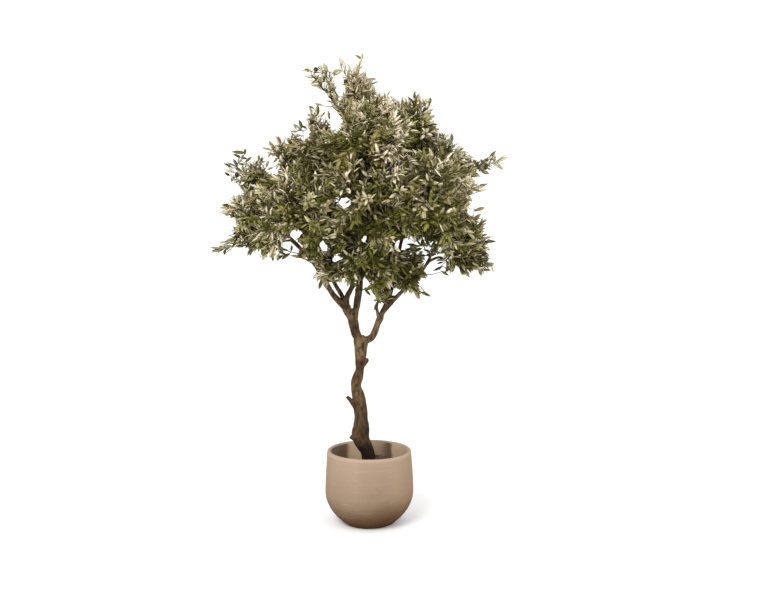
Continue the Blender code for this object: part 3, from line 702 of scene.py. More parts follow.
BRANCHES: tuple[Branch, ...] = (
    Branch(
        "outer_left", "left_limb", 0.96, (-345, -45, 1240), (-625, -30, 1375), 105,
        via=((-141, -6, 979), (-171, -18, 1022), (-232, -35, 1125)), radius=13.8,
        leaf_tips=((-606, -30, 1318),),
    ),
    Branch(
        "back_left", "outer_left", 0.06, (-300, 120, 1330), (-600, 60, 1560), 100,
        via=((-132, 16, 990), (-152, 30, 1045), (-210, 85, 1160)), radius=8.8, olive=(-558, 0, 1497),
        leaf_tips=((-609, 40, 1500), (-440, 40, 1574)),
    ),
    Branch(
        "inner_left", "left_limb", 0.86, (-200, -60, 1420), (-225, 0, 1790), 125,
        via=((-91, -16, 975), (-70, -34, 1035), (-100, -60, 1160)), radius=9.6, olive=(-236, -60, 1711),
        leaf_tips=((-330, -20, 1680), (-300, -10, 1722), (-262, 0, 1778)),
    ),
    Branch(
        "leader", "left_limb", 0.55, (-68, 0, 1700), (-33, 0, 2000), 85,
        via=((-52, 8, 950), (-43, 20, 1052), (-45, 30, 1250), (-60, 10, 1450)), radius=13.6,
        olive=(-96, -30, 1879), leaf_tips=((-117, 0, 1971),),
    ),
    Branch(
        "right_limb", "trunk", 0.95, (200, 50, 1420), (385, 30, 1655), 130,
        via=((10, 0, 808), (32, 0, 855), (60, 0, 920), (85, 0, 975), (115, 20, 1100), (150, 40, 1270)),
        radius=11.2, olive=(332, -60, 1596),
    ),
    Branch(
        "right_low", "right_limb", 0.25, (300, -30, 1200), (545, -20, 1222), 105,
        via=((133, -20, 997), (165, -28, 1025), (240, -30, 1115)), radius=8.6, olive=(443, -60, 1294),
        leaf_tips=((500, -20, 1352),),
    ),
    Branch(
        "low_left", "outer_left", 0.62, (-345, -60, 1220), (-673, -20, 1182), 68,
        leaf_tips=((-505, -40, 1152),),
    ),
    Branch("under_left", "outer_left", 0.38, (-180, -70, 1120), (-200, -250, 1150), 95),
    Branch(
        "left_shoulder", "back_left", 0.72, (-285, 90, 1420), (-415, 30, 1645), 95,
        leaf_tips=((-443, 10, 1610),),
    ),
    Branch("rear_left", "back_left", 0.48, (-260, 180, 1270), (-420, 450, 1420), 200),
    Branch("front_left", "inner_left", 0.42, (-190, -150, 1240), (-350, -450, 1360), 200),
    Branch("front_low", "inner_left", 0.2, (-50, -110, 1140), (-20, -400, 1140), 160),
    Branch(
        "crown_left", "leader", 0.84, (-118, 0, 1750), (-262, 0, 1945), 75, olive=(-221, -20, 1930),
        leaf_tips=((-187, 0, 1962),),
    ),
    Branch("crown_right", "leader", 0.72, (0, 30, 1600), (50, 0, 1850), 130, olive=(50, -60, 1727)),
    Branch(
        "upper_right", "leader", 0.52, (85, 50, 1560), (265, 0, 1812), 130, olive=(234, -30, 1764),
        leaf_tips=((197, 0, 1826), (108, 0, 1806)),
    ),
    Branch("front_high", "leader", 0.6, (-40, -100, 1500), (30, -360, 1700), 190, olive=(81, -350, 1500)),
    Branch("front_middle", "leader", 0.36, (-20, -110, 1330), (0, -500, 1390), 210),
    Branch("rear_middle", "leader", 0.4, (-60, 130, 1350), (-90, 500, 1440), 210),
    Branch("rear_high", "leader", 0.64, (-60, 110, 1520), (-110, 350, 1730), 190),
    Branch(
        "right_shoot", "right_limb", 0.84, (375, 30, 1485), (583, 0, 1572), 66, olive=(492, -20, 1529),
        leaf_tips=((527, 0, 1598), (555, 0, 1535)),
    ),
    Branch("right_middle", "right_limb", 0.76, (270, 0, 1360), (505, 0, 1440), 110),
    Branch(
        "right_under", "right_low", 0.72, (310, -60, 1148), (530, -30, 1108), 74, olive=(496, -50, 1143),
        leaf_tips=((415, -50, 1075),),
    ),
    Branch("low_right", "right_limb", 0.44, (115, -60, 1115), (252, -120, 996), 98),
    Branch("low_shoot", "right_limb", 0.17, (36, -20, 955), (62, -50, 1060), 42),
    Branch("front_right", "right_limb", 0.62, (170, -120, 1300), (330, -430, 1410), 200),
    Branch("rear_right", "right_limb", 0.66, (190, 150, 1320), (360, 430, 1430), 200),
    Branch("rear_low", "right_limb", 0.46, (60, 120, 1150), (80, 430, 1160), 190),
)

# Windows that the foliage keeps open, as in the solids. Each row has the centre on the middle plane, and
# half the width and height.
EYE = np.array((0.0, -3.75, 1.263))
WINDOWS = np.array((
    (-310, 1250, 30, 17), (-330, 1197, 45, 25), (-192, 1197, 15, 26), (-143, 1140, 16, 16),
    (-100, 1379, 27, 26), (-406, 1537, 28, 44), (-270, 1677, 22, 30), (-139, 1011, 36, 40),
    (-77, 969, 18, 42), (-122, 1872, 18, 55), (-145, 1720, 20, 50), (-19, 1227, 12, 18),
    (143, 1203, 38, 24), (269, 1118, 40, 34), (-17, 1039, 20, 20), (113, 999, 22, 20), (56, 936, 14, 24),
    (494, 1480, 50, 26), (-300, 1095, 85, 52), (-550, 1135, 85, 30), (-595, 1295, 34, 30),
    (-590, 1435, 55, 35), (-470, 1610, 30, 36), (-355, 1690, 30, 26), (-285, 1780, 34, 32),
    (-200, 1828, 26, 26), (-285, 1875, 34, 36), (20, 1945, 38, 50), (150, 1845, 40, 26),
    (300, 1765, 36, 45), (400, 1660, 48, 36), (490, 1630, 75, 34), (470, 1395, 50, 40),
    (520, 1275, 32, 32), (450, 1035, 90, 36), (280, 1040, 50, 46),
)) / MILLI

# Openings that only the fine twigs and leaves have to keep.
OPENINGS = np.array((
    (-13, 967, 21, 36), (-47, 960, 24, 36), (162, 970, 36, 26), (468, 1585, 32, 26),
    (-552, 1175, 36, 18), (-58, 1983, 18, 20), (-233, 1026, 16, 32), (377, 1082, 18, 22),
    (430, 1347, 14, 24), (452, 1078, 26, 14), (-183, 1782, 21, 23), (-503, 1585, 19, 21),
    (506, 1073, 22, 9), (12, 979, 14, 20), (496, 1333, 10, 15), (224, 1046, 9, 18), (-430, 1121, 10, 20),
    (-636, 1232, 22, 9), (287, 1728, 18, 11), (-273, 1735, 14, 15), (-130, 1698, 9, 16),
    (414, 1618, 12, 16), (-214, 1976, 12, 9), (-104, 995, 24, 28), (-545, 1427, 14, 13),
    (-147, 1960, 14, 10), (-72, 1968, 8, 10), (-600, 1256, 11, 12), (-212, 1001, 16, 18),
    (-600, 1476, 12, 10), (46, 1890, 8, 14), (-478, 1166, 12, 12), (526, 1168, 16, 12),
    (306, 1709, 14, 20), (240, 1015, 11, 13), (-236, 1846, 20, 16), (-610, 1254, 14, 10),
    (-484, 1579, 10, 12), (-630, 1327, 11, 11),
)) / MILLI

# More places, seen from the front, that a leafy twig of a mass reaches: x and z.
REACHED: dict[str, tuple[tuple[int, int], ...]] = {
    "inner_left": ((-278, 1692), (-162, 1720), (-300, 1660)),
    "back_left": ((-578, 1489), (-557, 1572), (-590, 1500)),
    "left_shoulder": ((-423, 1586), (-400, 1554), (-371, 1637)),
    "low_left": ((-362, 1177), (-389, 1141), (-281, 1139)),
    "under_left": ((-233, 1076), (-124, 1044)),
    "right_limb": ((353, 1657), (365, 1635)),
    "right_under": ((302, 1121), (278, 1091), (318, 1135)),
    "right_low": ((444, 1385),),
    "leader": ((21, 1900), (-6, 1882), (-121, 1953)),
    "crown_left": ((-213, 1942), (-199, 1903), (-119, 1853)),
    "upper_right": ((228, 1800), (267, 1813)),
    "low_right": ((114, 1001),),
}


@dataclass(frozen=True)
class Shoot:
    """A twig that stands apart: its mass, its points and radius in millimetres, and its leaves."""

    mass: str
    points: tuple[Row, ...]
    radius: float
    leafy_from: float = 1.0
    leaf_size: float = 0.9


SHOOTS: tuple[Shoot, ...] = (
    Shoot(
        "low_shoot",
        ((41, 0, 906), (30, -10, 925), (24, -20, 936), (34, -30, 956), (43, -40, 975), (47, -50, 1010)),
        4, 0.42, 0.8,
    ),
    Shoot("leader", ((-44, 10, 1012), (-22, -20, 1013), (10, -40, 1022)), 3.6, 0.35, 0.8),
    Shoot("right_under", ((225, -50, 1079), (262, -55, 1078), (308, -60, 1091)), 2.4),
    Shoot("low_left", ((-252, -35, 1150), (-286, -40, 1163), (-342, -45, 1176)), 3.4),
    Shoot("crown_left", ((-75, 0, 1720), (-120, 0, 1775), (-148, 0, 1800), (-166, 0, 1862)), 5),
)

# The leaves that stand out round the crown's outline, by mass, seen from the front: x and z of the foot and
# of the tip. They lie as far back as the tip of their mass.
EDGE_LEAVES: dict[str, tuple[tuple[int, int, int, int], ...]] = {
    "leader": (
        (-29, 1975, -59, 2000), (-29, 1975, -25, 2003), (-96, 1934, -117, 1983), (-80, 1921, -84, 1958),
        (-67, 1929, -21, 1950), (-13, 1892, 34, 1896), (17, 1876, 21, 1826), (-71, 1909, -109, 1876),
    ),
    "crown_left": (
        (-235, 1925, -272, 1938), (-184, 1929, -188, 1971), (-206, 1896, -243, 1876),
        (-164, 1917, -117, 1934), (-200, 1898, -236, 1884), (-238, 1929, -279, 1930),
    ),
    "inner_left": (
        (-303, 1684, -323, 1713), (-282, 1688, -294, 1730), (-298, 1676, -332, 1680),
        (-214, 1742, -214, 1792), (-227, 1771, -256, 1787), (-218, 1746, -252, 1746),
        (-164, 1671, -134, 1688), (-258, 1688, -290, 1704), (-274, 1684, -306, 1683),
        (-206, 1736, -180, 1762), (-78, 1392, -103, 1374),
    ),
    "left_shoulder": (
        (-400, 1596, -425, 1646), (-413, 1604, -455, 1613), (-379, 1617, -391, 1663),
        (-396, 1592, -417, 1571), (-383, 1549, -396, 1520), (-384, 1570, -410, 1548),
        (-405, 1530, -438, 1520),
    ),
    "back_left": (
        (-526, 1593, -586, 1598), (-583, 1530, -625, 1551), (-561, 1530, -582, 1572),
        (-471, 1534, -454, 1581), (-441, 1530, -428, 1564), (-532, 1552, -500, 1578),
        (-545, 1572, -582, 1590), (-528, 1545, -562, 1547),
    ),
    "outer_left": (
        (-572, 1361, -623, 1374), (-564, 1378, -568, 1416), (-568, 1349, -602, 1328),
        (-552, 1299, -560, 1324),
    ),
    "low_left": (
        (-613, 1181, -668, 1176), (-604, 1193, -638, 1210), (-604, 1189, -613, 1155),
        (-503, 1198, -499, 1151), (-448, 1198, -452, 1151), (-410, 1172, -406, 1130),
        (-334, 1168, -376, 1138), (-330, 1172, -325, 1206), (-350, 1158, -386, 1176),
        (-338, 1176, -372, 1186), (-360, 1160, -394, 1136),
    ),
    "crown_right": (
        (122, 1772, 122, 1814), (50, 1805, 42, 1843), (80, 1797, 80, 1830),
    ),
    "upper_right": (
        (168, 1781, 151, 1818), (198, 1789, 197, 1834), (212, 1794, 214, 1839), (221, 1788, 232, 1824),
        (227, 1801, 273, 1818), (232, 1727, 274, 1731), (261, 1677, 282, 1706),
    ),
    "right_limb": (
        (322, 1645, 309, 1683), (322, 1652, 344, 1676), (439, 1435, 511, 1464), (418, 1414, 448, 1380),
    ),
    "right_shoot": (
        (511, 1556, 532, 1597), (541, 1551, 587, 1572), (516, 1551, 562, 1522), (490, 1531, 518, 1518),
        (431, 1514, 478, 1488),
    ),
    "right_low": (
        (443, 1345, 490, 1357), (452, 1311, 473, 1336), (483, 1223, 516, 1240), (487, 1214, 542, 1218),
        (205, 1200, 158, 1205), (262, 1170, 228, 1184), (228, 1188, 186, 1176),
    ),
    "right_under": (
        (494, 1122, 536, 1122), (468, 1122, 481, 1088), (405, 1113, 410, 1071), (304, 1092, 342, 1071),
        (519, 1113, 528, 1084), (320, 1142, 280, 1134), (314, 1112, 272, 1092), (316, 1130, 284, 1122),
        (346, 1118, 322, 1084), (352, 1112, 342, 1080), (318, 1108, 350, 1092),
    ),
    "low_right": (
        (209, 1011, 259, 990), (171, 1032, 204, 1007),
    ),
    "low_shoot": (
        (38, 944, 17, 927),
    ),
}


def unit(vector: np.ndarray) -> np.ndarray:
    """The same directions at length one: one vector, or one in each row."""
    return vector / np.maximum(np.linalg.norm(vector, axis=-1, keepdims=True), 1e-12)


def upwards(height: float) -> np.ndarray:
    """A vector straight up, or down if the height is negative."""
    return np.array((0.0, 0.0, height))


def square_to(along: np.ndarray, turn: float, reference: Row = (0.3, 0.9, 0.31)) -> np.ndarray:
    """The direction square to another, at an angle about it that is counted from a reference."""
    side = unit(np.cross(along, reference))
    return side * math.cos(turn) + np.cross(along, side) * math.sin(turn)


def smooth_line(points: Sequence[np.ndarray], step: float) -> list[np.ndarray]:
    """A Catmull-Rom line through points of any number of values.

    Args:
        points: The points to pass through.
        step: About how far apart the new points lie, by their first three values.

    Returns:
        The line's points.
    """
    ends = [2 * points[0] - points[1], *points, 2 * points[-1] - points[-2]]
    line = [points[0]]
    for before, start, end, after in zip(ends, ends[1:], ends[2:], ends[3:]):
        count = max(1, round(float(np.linalg.norm(end[:3] - start[:3])) / step))
        for index in range(1, count + 1):
            t = index / count
            bend = 2 * before - 5 * start + 4 * end - after
            twist = 3 * (start - end) + after - before
            line.append(0.5 * (2 * start + (end - before) * t + bend * t**2 + twist * t**3))
    return line


class Limb:
    """A tapering limb along stations of x, y, z and radius, as the solids have it."""

    thinnest: float = 0.0025

    def __init__(self, stations: Sequence[np.ndarray]) -> None:
        """Keeps the stations, rows of x, y, z and radius."""
        self.stations = np.array(stations, float)

    def place(self, share: float) -> tuple[np.ndarray, np.ndarray, float]:
        """A place along the limb.

        Args:
            share: The share of its length.

        Returns:
            The point, the direction and the radius there.
        """
        points = self.stations[:, :3]
        runs = np.linalg.norm(np.diff(points, axis=0), axis=1)
        left = share * runs.sum()
        index = 0
        while index < len(runs) - 1 and left > runs[index]:
            left -= runs[index]
            index += 1
        start, end = self.stations[index], self.stations[index + 1]
        station = start + (end - start) * (left / runs[index])
        return station[:3], unit(points[index + 1] - points[index]), float(station[3])

    def fine(self, step: float) -> Line:
        """The points and radii of the limb's line at close steps, for a smooth tube."""
        line = np.array(smooth_line(list(self.stations), step))
        return line[:, :3], np.maximum(line[:, 3], self.thinnest)

    def beside(self, points: np.ndarray) -> Iterator[Line]:
        """How points lie to each part of the limb in turn.

        Args:
            points: One point in each row.

        Yields:
            How far each is from that part's line, and the limb's radius there.
        """
        for start, end in zip(self.stations, self.stations[1:]):
            run = end[:3] - start[:3]
            share = np.clip((points - start[:3]) @ run / (run @ run), 0.0, 1.0)
            away = np.linalg.norm(points - start[:3] - share[:, None] * run, axis=1)
            yield away, start[3] + (end[3] - start[3]) * share


class Space:
    """The spindle-shaped space of one mass."""

    spindle: float = 2.6

    def __init__(self, branch: Branch) -> None:
        """Works out the space's axis and its directions.

        Args:
            branch: The branch whose mass it holds.
        """
        self.root = np.array(branch.root) / MILLI
        self.tip = np.array(branch.tip) / MILLI
        self.girth = branch.girth / MILLI
        self.centre = (self.root + self.tip) / 2
        self.half = float(np.linalg.norm(self.tip - self.root)) / 2
        self.axis = unit(self.tip - self.root)
        self.side = unit(np.cross(self.axis, (0.0, 0.0, 1.0)))
        self.rise = np.cross(self.side, self.axis)

    def _offsets(self, points: np.ndarray) -> Line:
        """How far points lie from the centre, along the axis and away from it."""
        offset = points - self.centre
        along = offset @ self.axis
        return along, np.linalg.norm(offset - along[:, None] * self.axis, axis=1)

    def depth(self, points: np.ndarray) -> np.ndarray:
        """How far out points lie: 0 at the centre and 1 on the surface.

        Args:
            points: One point in each row.

        Returns:
            One depth for each.
        """
        along, across = self._offsets(points)
        ends = (np.abs(along) / self.half) ** self.spindle + (across / self.girth) ** self.spindle
        return ends ** (1 / self.spindle)

    def within(
        self, points: np.ndarray, sideways: float, lengthways: float, rootways: float
    ) -> np.ndarray:
        """Whether points lie in the space once it is let out a little.

        Args:
            points: One point in each row.
            sideways: How much wider it is all round.
            lengthways: How much longer it is at its tip.
            rootways: How much longer it is at its root.

        Returns:
            A truth for each.
        """
        along, across = self._offsets(points)
        half = self.half + np.where(along < 0.0, rootways, lengthways)
        ends = (np.abs(along) / half) ** self.spindle
        return ends + (across / (self.girth + sideways)) ** self.spindle <= 1.0

    def around(self, turn: float) -> np.ndarray:
        """The direction square to the axis at an angle about it."""
        return self.side * math.cos(turn) + self.rise * math.sin(turn)


class Plan:
    """Where limbs and masses lie: the solids' own sizes, worked out again."""

    # Rows of height, x, y and radius, in millimetres.
    stems: dict[str, tuple[tuple[float, ...], ...]] = {
        "trunk": (
            (222.3, 6, 0, 40), (250, 1, 0, 30), (305, -7, 2, 27.5), (335, -21, 4, 32), (370, -36, 6, 36),
            (424, -35, 2, 32.5), (468, -36, -2, 27.8), (525, -43, -6, 26.8), (556, -47, -4, 24.2),
            (588, -56, 4, 20.8), (614, -56, 10, 22.4), (640, -47, 10, 21.2), (666, -41, 6, 17),
            (705, -38, 2, 20), (750, -36, 0, 25.2), (782, -36, 0, 30), (806, -46, 0, 24),
        ),
        "left_limb": (
            (798, -44, 0, 19), (820, -56, 2, 18.8), (845, -63, 4, 19.2), (880, -69, 5, 21),
            (908, -77, 3, 21.8), (932, -92, 0, 17.2),
        ),
    }
    limb_step: float = 0.075
    bough_step: float = 0.090
    tip_radius: float = 0.0042
    tip_run: float = 0.018
    bough_share: float = 0.62
    root_least: float = 1.15
    collar: float = 0.30
    collar_run: float = 0.035
    elbow_share: float = 0.30
    edge: float = 0.016
    window_share: float = 0.90
    sideways: float = 0.042
    lengthways: float = 0.008
    rootways: dict[str, float] = {"rear_low": 0.085}

    def __init__(self) -> None:
        """Lays out every limb and every space."""
        self.limbs: dict[str, Limb] = {
            name: Limb([np.array((x, y, z, radius)) / MILLI for z, x, y, radius in rows])
            for name, rows in self.stems.items()
        }
        for branch in BRANCHES:
            self.limbs[branch.name] = self._bough(branch)
        self.spaces = [Space(branch) for branch in BRANCHES]

    def _bough(self, branch: Branch) -> Limb:
        """Lays out one bough from inside its parent to the pole of its space.

        Args:
            branch: The branch.

        Returns:
            Its limb.
        """
        start, along, radius = self.limbs[branch.parent].place(branch.at)
        space = Space(branch)
        run_in = space.root - space.axis * self.tip_run
        via = [np.array(point) / MILLI for point in branch.via]
        if not via:
            out = unit(run_in - start)
            reach = float(np.linalg.norm(run_in - start)) * self.elbow_share
            via = [start + unit(along + out) * reach]
        line = smooth_line([start, *via, run_in], self.limb_step if branch.via else self.bough_step)
        line.append(space.root)
        least = self.tip_radius * self.root_least
        root_radius = branch.radius / MILLI or max(radius * self.bough_share, least)
        runs = [float(np.linalg.norm(end - begin)) for begin, end in zip(line, line[1:])]
        walked = np.concatenate([[0.0], np.cumsum(runs)])
        taper = self.tip_radius + (root_radius - self.tip_radius) * (1.0 - walked / walked[-1])
        radii = taper * (1.0 + self.collar * np.exp(-walked / self.collar_run))
        radii[-1] = self.tip_radius
        return Limb(np.column_stack([np.array(line), radii]))

    @staticmethod
    def in_window(points: np.ndarray, windows: np.ndarray = WINDOWS, share: float = 1.0) -> np.ndarray:
        """Whether points lie in one of the crown's open windows.

        Args:
            points: One point in each row.
            windows: One window in each row.
            share: How much of each window's width and height counts.

        Returns:
            A truth for each.
        """
        reach = EYE[1] / (EYE[1] - points[:, 1])
        spot = EYE + (points - EYE) * reach[:, None]
        across = (spot[:, 0, None] - windows[:, 0]) / windows[:, 2]
        up = (spot[:, 2, None] - windows[:, 1]) / windows[:, 3]
        return (across**2 + up**2 < share**2).any(axis=1)

    def owned(self, points: np.ndarray, index: int) -> np.ndarray:
        """Whether points lie in one mass's space, deeper than in any other, and in no window.

        Args:
            points: One point in each row.
            index: The mass.

        Returns:
            A truth for each.
        """
        own = self.spaces[index].depth(points)
        held = (own <= 1.001) & ~self.in_window(points)
        for other, space in enumerate(self.spaces):
            if other != index:
                held &= space.depth(points) > own + self.edge
        return held

    def open_to(self, points: np.ndarray, index: int) -> np.ndarray:
        """Whether fine twigs and leaves of one mass may reach points, where masses run together.

        Args:
            points: One point in each row.
            index: The mass.

        Returns:
            A truth for each.
        """
        rootways = self.rootways.get(BRANCHES[index].name, self.lengthways)
        held = self.spaces[index].within(points, self.sideways, self.lengthways, rootways)
        return held & self.out_of_windows(points)

    def out_of_windows(self, points: np.ndarray) -> np.ndarray:
        """Whether points keep out of the windows, drawn in a little, and out of the small openings."""
        return ~self.in_window(points, share=self.window_share) & ~self.in_window(points, OPENINGS)

    def clear_of_limbs(self, points: np.ndarray, room: float = 0.001) -> np.ndarray:
        """Whether points keep clear of every limb.

        Args:
            points: One point in each row.
            room: How far from a limb's surface they stay.

        Returns:
            A truth for each.
        """
        held = np.ones(len(points), bool)
        for limb in self.limbs.values():
            for away, radius in limb.beside(points):
                held &= away > radius + room
        return held


# ---------------------------------------------------------------- foliage


@dataclass
class Twig:
    """A stem or twig: its line, its radii, and whether it is one of the fine ones."""

    points: np.ndarray
    radii: np.ndarray
    fine: bool = False


@dataclass
class Leaf:
    """One leaf: its foot, its three directions, its length, its spray and what it keeps to."""

    foot: np.ndarray
    axis: np.ndarray
    across: np.ndarray
    facing: np.ndarray
    length: float
    spray: int
    hold: Hold


def nearest_wood(wood: Sequence[Twig], place: np.ndarray) -> np.ndarray:
    """The point of some twigs' lines that lies nearest to a place."""
    points = np.concatenate([twig.points for twig in wood])
    return points[int(np.argmin(np.linalg.norm(points - place, axis=1)))]


@dataclass
class Growth:
    """One mass of foliage: the solids' stem and twigs, and finer ones that they don't have."""

    plan: Plan
    index: int
    fullness: float = 1.0

    # The solids' rule.
    seed: int = 11
    twigs_least: float = 6.2
    twigs_per_metre: float = 19.4
    twig_first: float = 0.12
    twig_last: float = 0.90
    twig_angle: float = math.radians(60)
    twig_angle_spread: float = math.radians(12)
    twig_turn_spread: float = math.radians(24)
    twig_lift: float = 0.15
    reach_least: float = 0.84
    reach_most: float = 0.98
    stem_radius: float = 0.0041
    stem_tip_radius: float = 0.0022 * 0.6
    stem_gap: float = 0.0003 * 1.2
    stem_wander: float = 0.14
    stem_wander_turn: float = 2.2
    march: float = 0.006
    big_leaf: float = 0.098
    big_leaf_girth_share: float = 0.36
    big_leaf_overlap: float = 0.86

    # The finer twigs.
    extra_share: float = 1.45
    back_twigs: int = 22
    back_share: float = 0.20
    back_angle: float = math.radians(104)
    twig_radius: float = 0.0021
    fine_radius: float = 0.0012
    fine_tip_radius: float = 0.0008
    link_radius: float = 0.0012 * 1.2
    link_tip_radius: float = 0.0009
    bow: float = 0.10
    sag: float = 0.8
    end_leaf_room: float = 0.034
    shortest: float = 0.030
    leaf_only: float = 0.018
    fine_gap: float = 0.028
    fine_most: float = 0.135
    fine_least: float = 0.028 * 0.4
    fine_angle: float = math.radians(46)
    fine_lift: float = 0.12
    stem_lead: float = 0.006
    stem_end_room: float = 0.045
    stem_steps: int = 12
    stem_leafy_from: int = 8
    stem_fine_twigs: int = 5

    # The leaves.
    leaf_gap: float = 0.0150
    leaf_length: float = 0.050
    leaf_width: float = 0.300
    leaf_stir: float = 0.20
    leaf_droop: float = 0.14
    leaf_roll: float = math.radians(34)
    lean_first: float = 62
    lean_loss: float = 26
    lean_spread: float = 11
    end_lean: float = 4
    edge_leaf_side: Row = (0.15, -0.80, 0.45)

    wood: list[Twig] = field(default_factory=list)
    leaves: list[Leaf] = field(default_factory=list)

    def __post_init__(self) -> None:
        """Sets up the space and the seeded dice, the first of which rolls as the solids' do."""
        self.branch = BRANCHES[self.index]
        self.space = self.plan.spaces[self.index]
        self.dice = random.Random(self.seed * 1009 + self.index)
        self.fine_dice = random.Random(self.seed * 7001 + self.index)
        self.sprays = 0
        self.hold = Hold.SPACE

    def stem_point(self, share: float) -> np.ndarray:
        """A point on the wandering stem.

        Args:
            share: The share of the way to its end.

        Returns:
            The point.
        """
        sway = self.stem_wander * self.space.girth * math.sin(math.pi * share)
        offset = self.space.around(self.sway_turn + self.stem_wander_turn * share) * sway
        start = self.space.root + self.space.axis * self.stem_gap
        return start + (self.stem_end - start) * share + offset

    def reach(self, start: np.ndarray, direction: np.ndarray, test: Test, most: float = 0.6) -> float:
        """How far a line runs before it leaves the space.

        Args:
            start: Where it starts.
            direction: Where it goes.
            test: The plan's question whether this mass may reach a point.
            most: The longest run that is looked at.

        Returns:
            The run.
        """
        runs = np.arange(1, int(most / self.march) + 1) * self.march
        held = test(start + runs[:, None] * direction, self.index)
        return float(runs[-1] if held.all() else runs[int(np.argmin(held))] - self.march)

    def rule_twig(self, share: float, turn: float, dice: random.Random, test: Test) -> None:
        """Grows one side twig by the solids' rule.

        Args:
            share: Where on the stem it starts.
            turn: Its angle about the space's axis.
            dice: What rolls its angle and reach.
            test: The plan's question whether this mass may reach a point.
        """
        start = self.stem_point(share)
        angle = self.twig_angle + dice.uniform(-self.twig_angle_spread, self.twig_angle_spread)
        direction = self.space.axis * math.cos(angle) + self.space.around(turn) * math.sin(angle)
        direction = unit(direction + upwards(self.twig_lift))
        reach = self.reach(start, direction, test) * dice.uniform(self.reach_least, self.reach_most)
        # The solids' rule rolls once more here, for the leaf at the twig's end.
        dice.uniform(0.0, math.pi)
        self.side_twig(start, direction, reach)

    def leaf(self, foot: np.ndarray, along: np.ndarray, out: np.ndarray, angle: float, size: float) -> None:
        """Notes one leaf.

        Args:
            foot: Where it stands on its twig.
            along: The twig's direction there.
            out: The side that it leans to, square to the twig.
            angle: How far it leans.
            size: Its length as a share of the common length.
        """
        direction = unit(along * math.cos(angle) + out * math.sin(angle))
        stir = np.array([self.fine_dice.gauss(0.0, self.leaf_stir) for axis in range(3)])
        direction = unit(direction + stir + upwards(-self.leaf_droop))
        facing = along - direction * float(along @ direction)
        if float(facing @ facing) < 1e-4:
            facing = np.cross(direction, out)
        facing = unit(facing + upwards(0.25))
        across = unit(np.cross(direction, facing))
        roll = self.fine_dice.gauss(0.0, self.leaf_roll)
        facing = np.cross(across, direction)
        across, facing = (
            across * math.cos(roll) + facing * math.sin(roll),
            facing * math.cos(roll) - across * math.sin(roll),
        )
        length = self.leaf_length * size * self.fine_dice.uniform(0.74, 1.16)
        self.leaves.append(Leaf(foot, direction, across, facing, length, self.sprays, self.hold))

    def leafy(self, points: np.ndarray, first: float, gap: float, size: float = 1.0) -> None:
        """Sets pairs of leaves along a twig, each pair turned from the last, and one at its end.

        Args:
            points: The twig's line.
            first: The share of its length where the leaves begin.
            gap: How far apart the pairs stand.
            size: The leaves' size.
        """
        runs = np.linalg.norm(np.diff(points, axis=0), axis=1)
        walked = np.concatenate([[0.0], np.cumsum(runs)])
        total = float(walked[-1])
        turn = self.fine_dice.uniform(0.0, math.pi)
        spot = total * first + gap * self.fine_dice.uniform(0.1, 0.8)
        while spot < total - 0.004:
            index = max(min(int(np.searchsorted(walked, spot)) - 1, len(runs) - 1), 0)
            run = points[index + 1] - points[index]
            foot = points[index] + run * ((spot - walked[index]) / runs[index])
            along = unit(run)
            out = square_to(along, turn)
            late = spot / total
            for sign in (1.0, -1.0):
                lean = self.lean_first - self.lean_loss * late + self.fine_dice.gauss(0.0, self.lean_spread)
                self.leaf(foot, along, out * sign, math.radians(lean), size * (1.04 - 0.22 * late))
            turn += math.pi / 2 + self.fine_dice.gauss(0.0, 0.25)
            spot += gap * self.fine_dice.uniform(0.8, 1.25) * (1.12 - 0.35 * late)
        along = unit(points[-1] - points[-2])
        out = square_to(along, 0.0)
        self.leaf(points[-1] - along * 0.001, along, out, math.radians(self.end_lean), size * 0.95)

    def twig_line(self, start: np.ndarray, direction: np.ndarray, length: float, steps: int) -> np.ndarray:
        """A gently bowed line.

        Args:
            start: Where it starts.
            direction: Where its end lies.
            length: How long it is.
            steps: How many parts it has.

        Returns:
            Its points.
        """
        turn = self.fine_dice.uniform(0.0, TURN)
        lean = square_to(direction, turn, (0.31, 0.2, 0.93)) - upwards(self.sag)
        share = np.linspace(0.0, 1.0, steps + 1)[:, None]
        bend = lean * (self.bow * length * self.fine_dice.uniform(0.3, 1.0))
        return start + direction * length * share + bend * share * (1.0 - share)

    def side_twig(self, start: np.ndarray, direction: np.ndarray, reach: float) -> None:
        """A side twig with its fine twigs and leaves.

        Args:
            start: Where it leaves the stem.
            direction: Where it goes.
            reach: How far the leaf at its end may get.
        """
        self.sprays += 1
        if reach < self.shortest:
            if reach > self.leaf_only:
                self.leaf(start, direction, square_to(direction, 0.0), 0.1, reach / self.leaf_length)
            return
        length = max(reach - self.end_leaf_room, reach * 0.35)
        line = self.twig_line(start, direction, length, 6)
        held = self.plan.clear_of_limbs(line[1:])
        if not held.all():
            line = line[:int(np.argmin(held)) + 1]
        if len(line) < 3:
            return
        self.wood.append(Twig(line, np.linspace(self.twig_radius, self.fine_radius, len(line))))
        self.leafy(line, 0.30, self.leaf_gap * 1.35 / self.fullness)
        count = int(length / self.fine_gap * self.fullness)
        phase = self.fine_dice.uniform(0.0, TURN)
        for number in range(count):
            share = (number + self.fine_dice.uniform(0.25, 0.75)) / count * 0.92
            self.fine_twig(line, share, phase + number * GOLDEN_ANGLE)

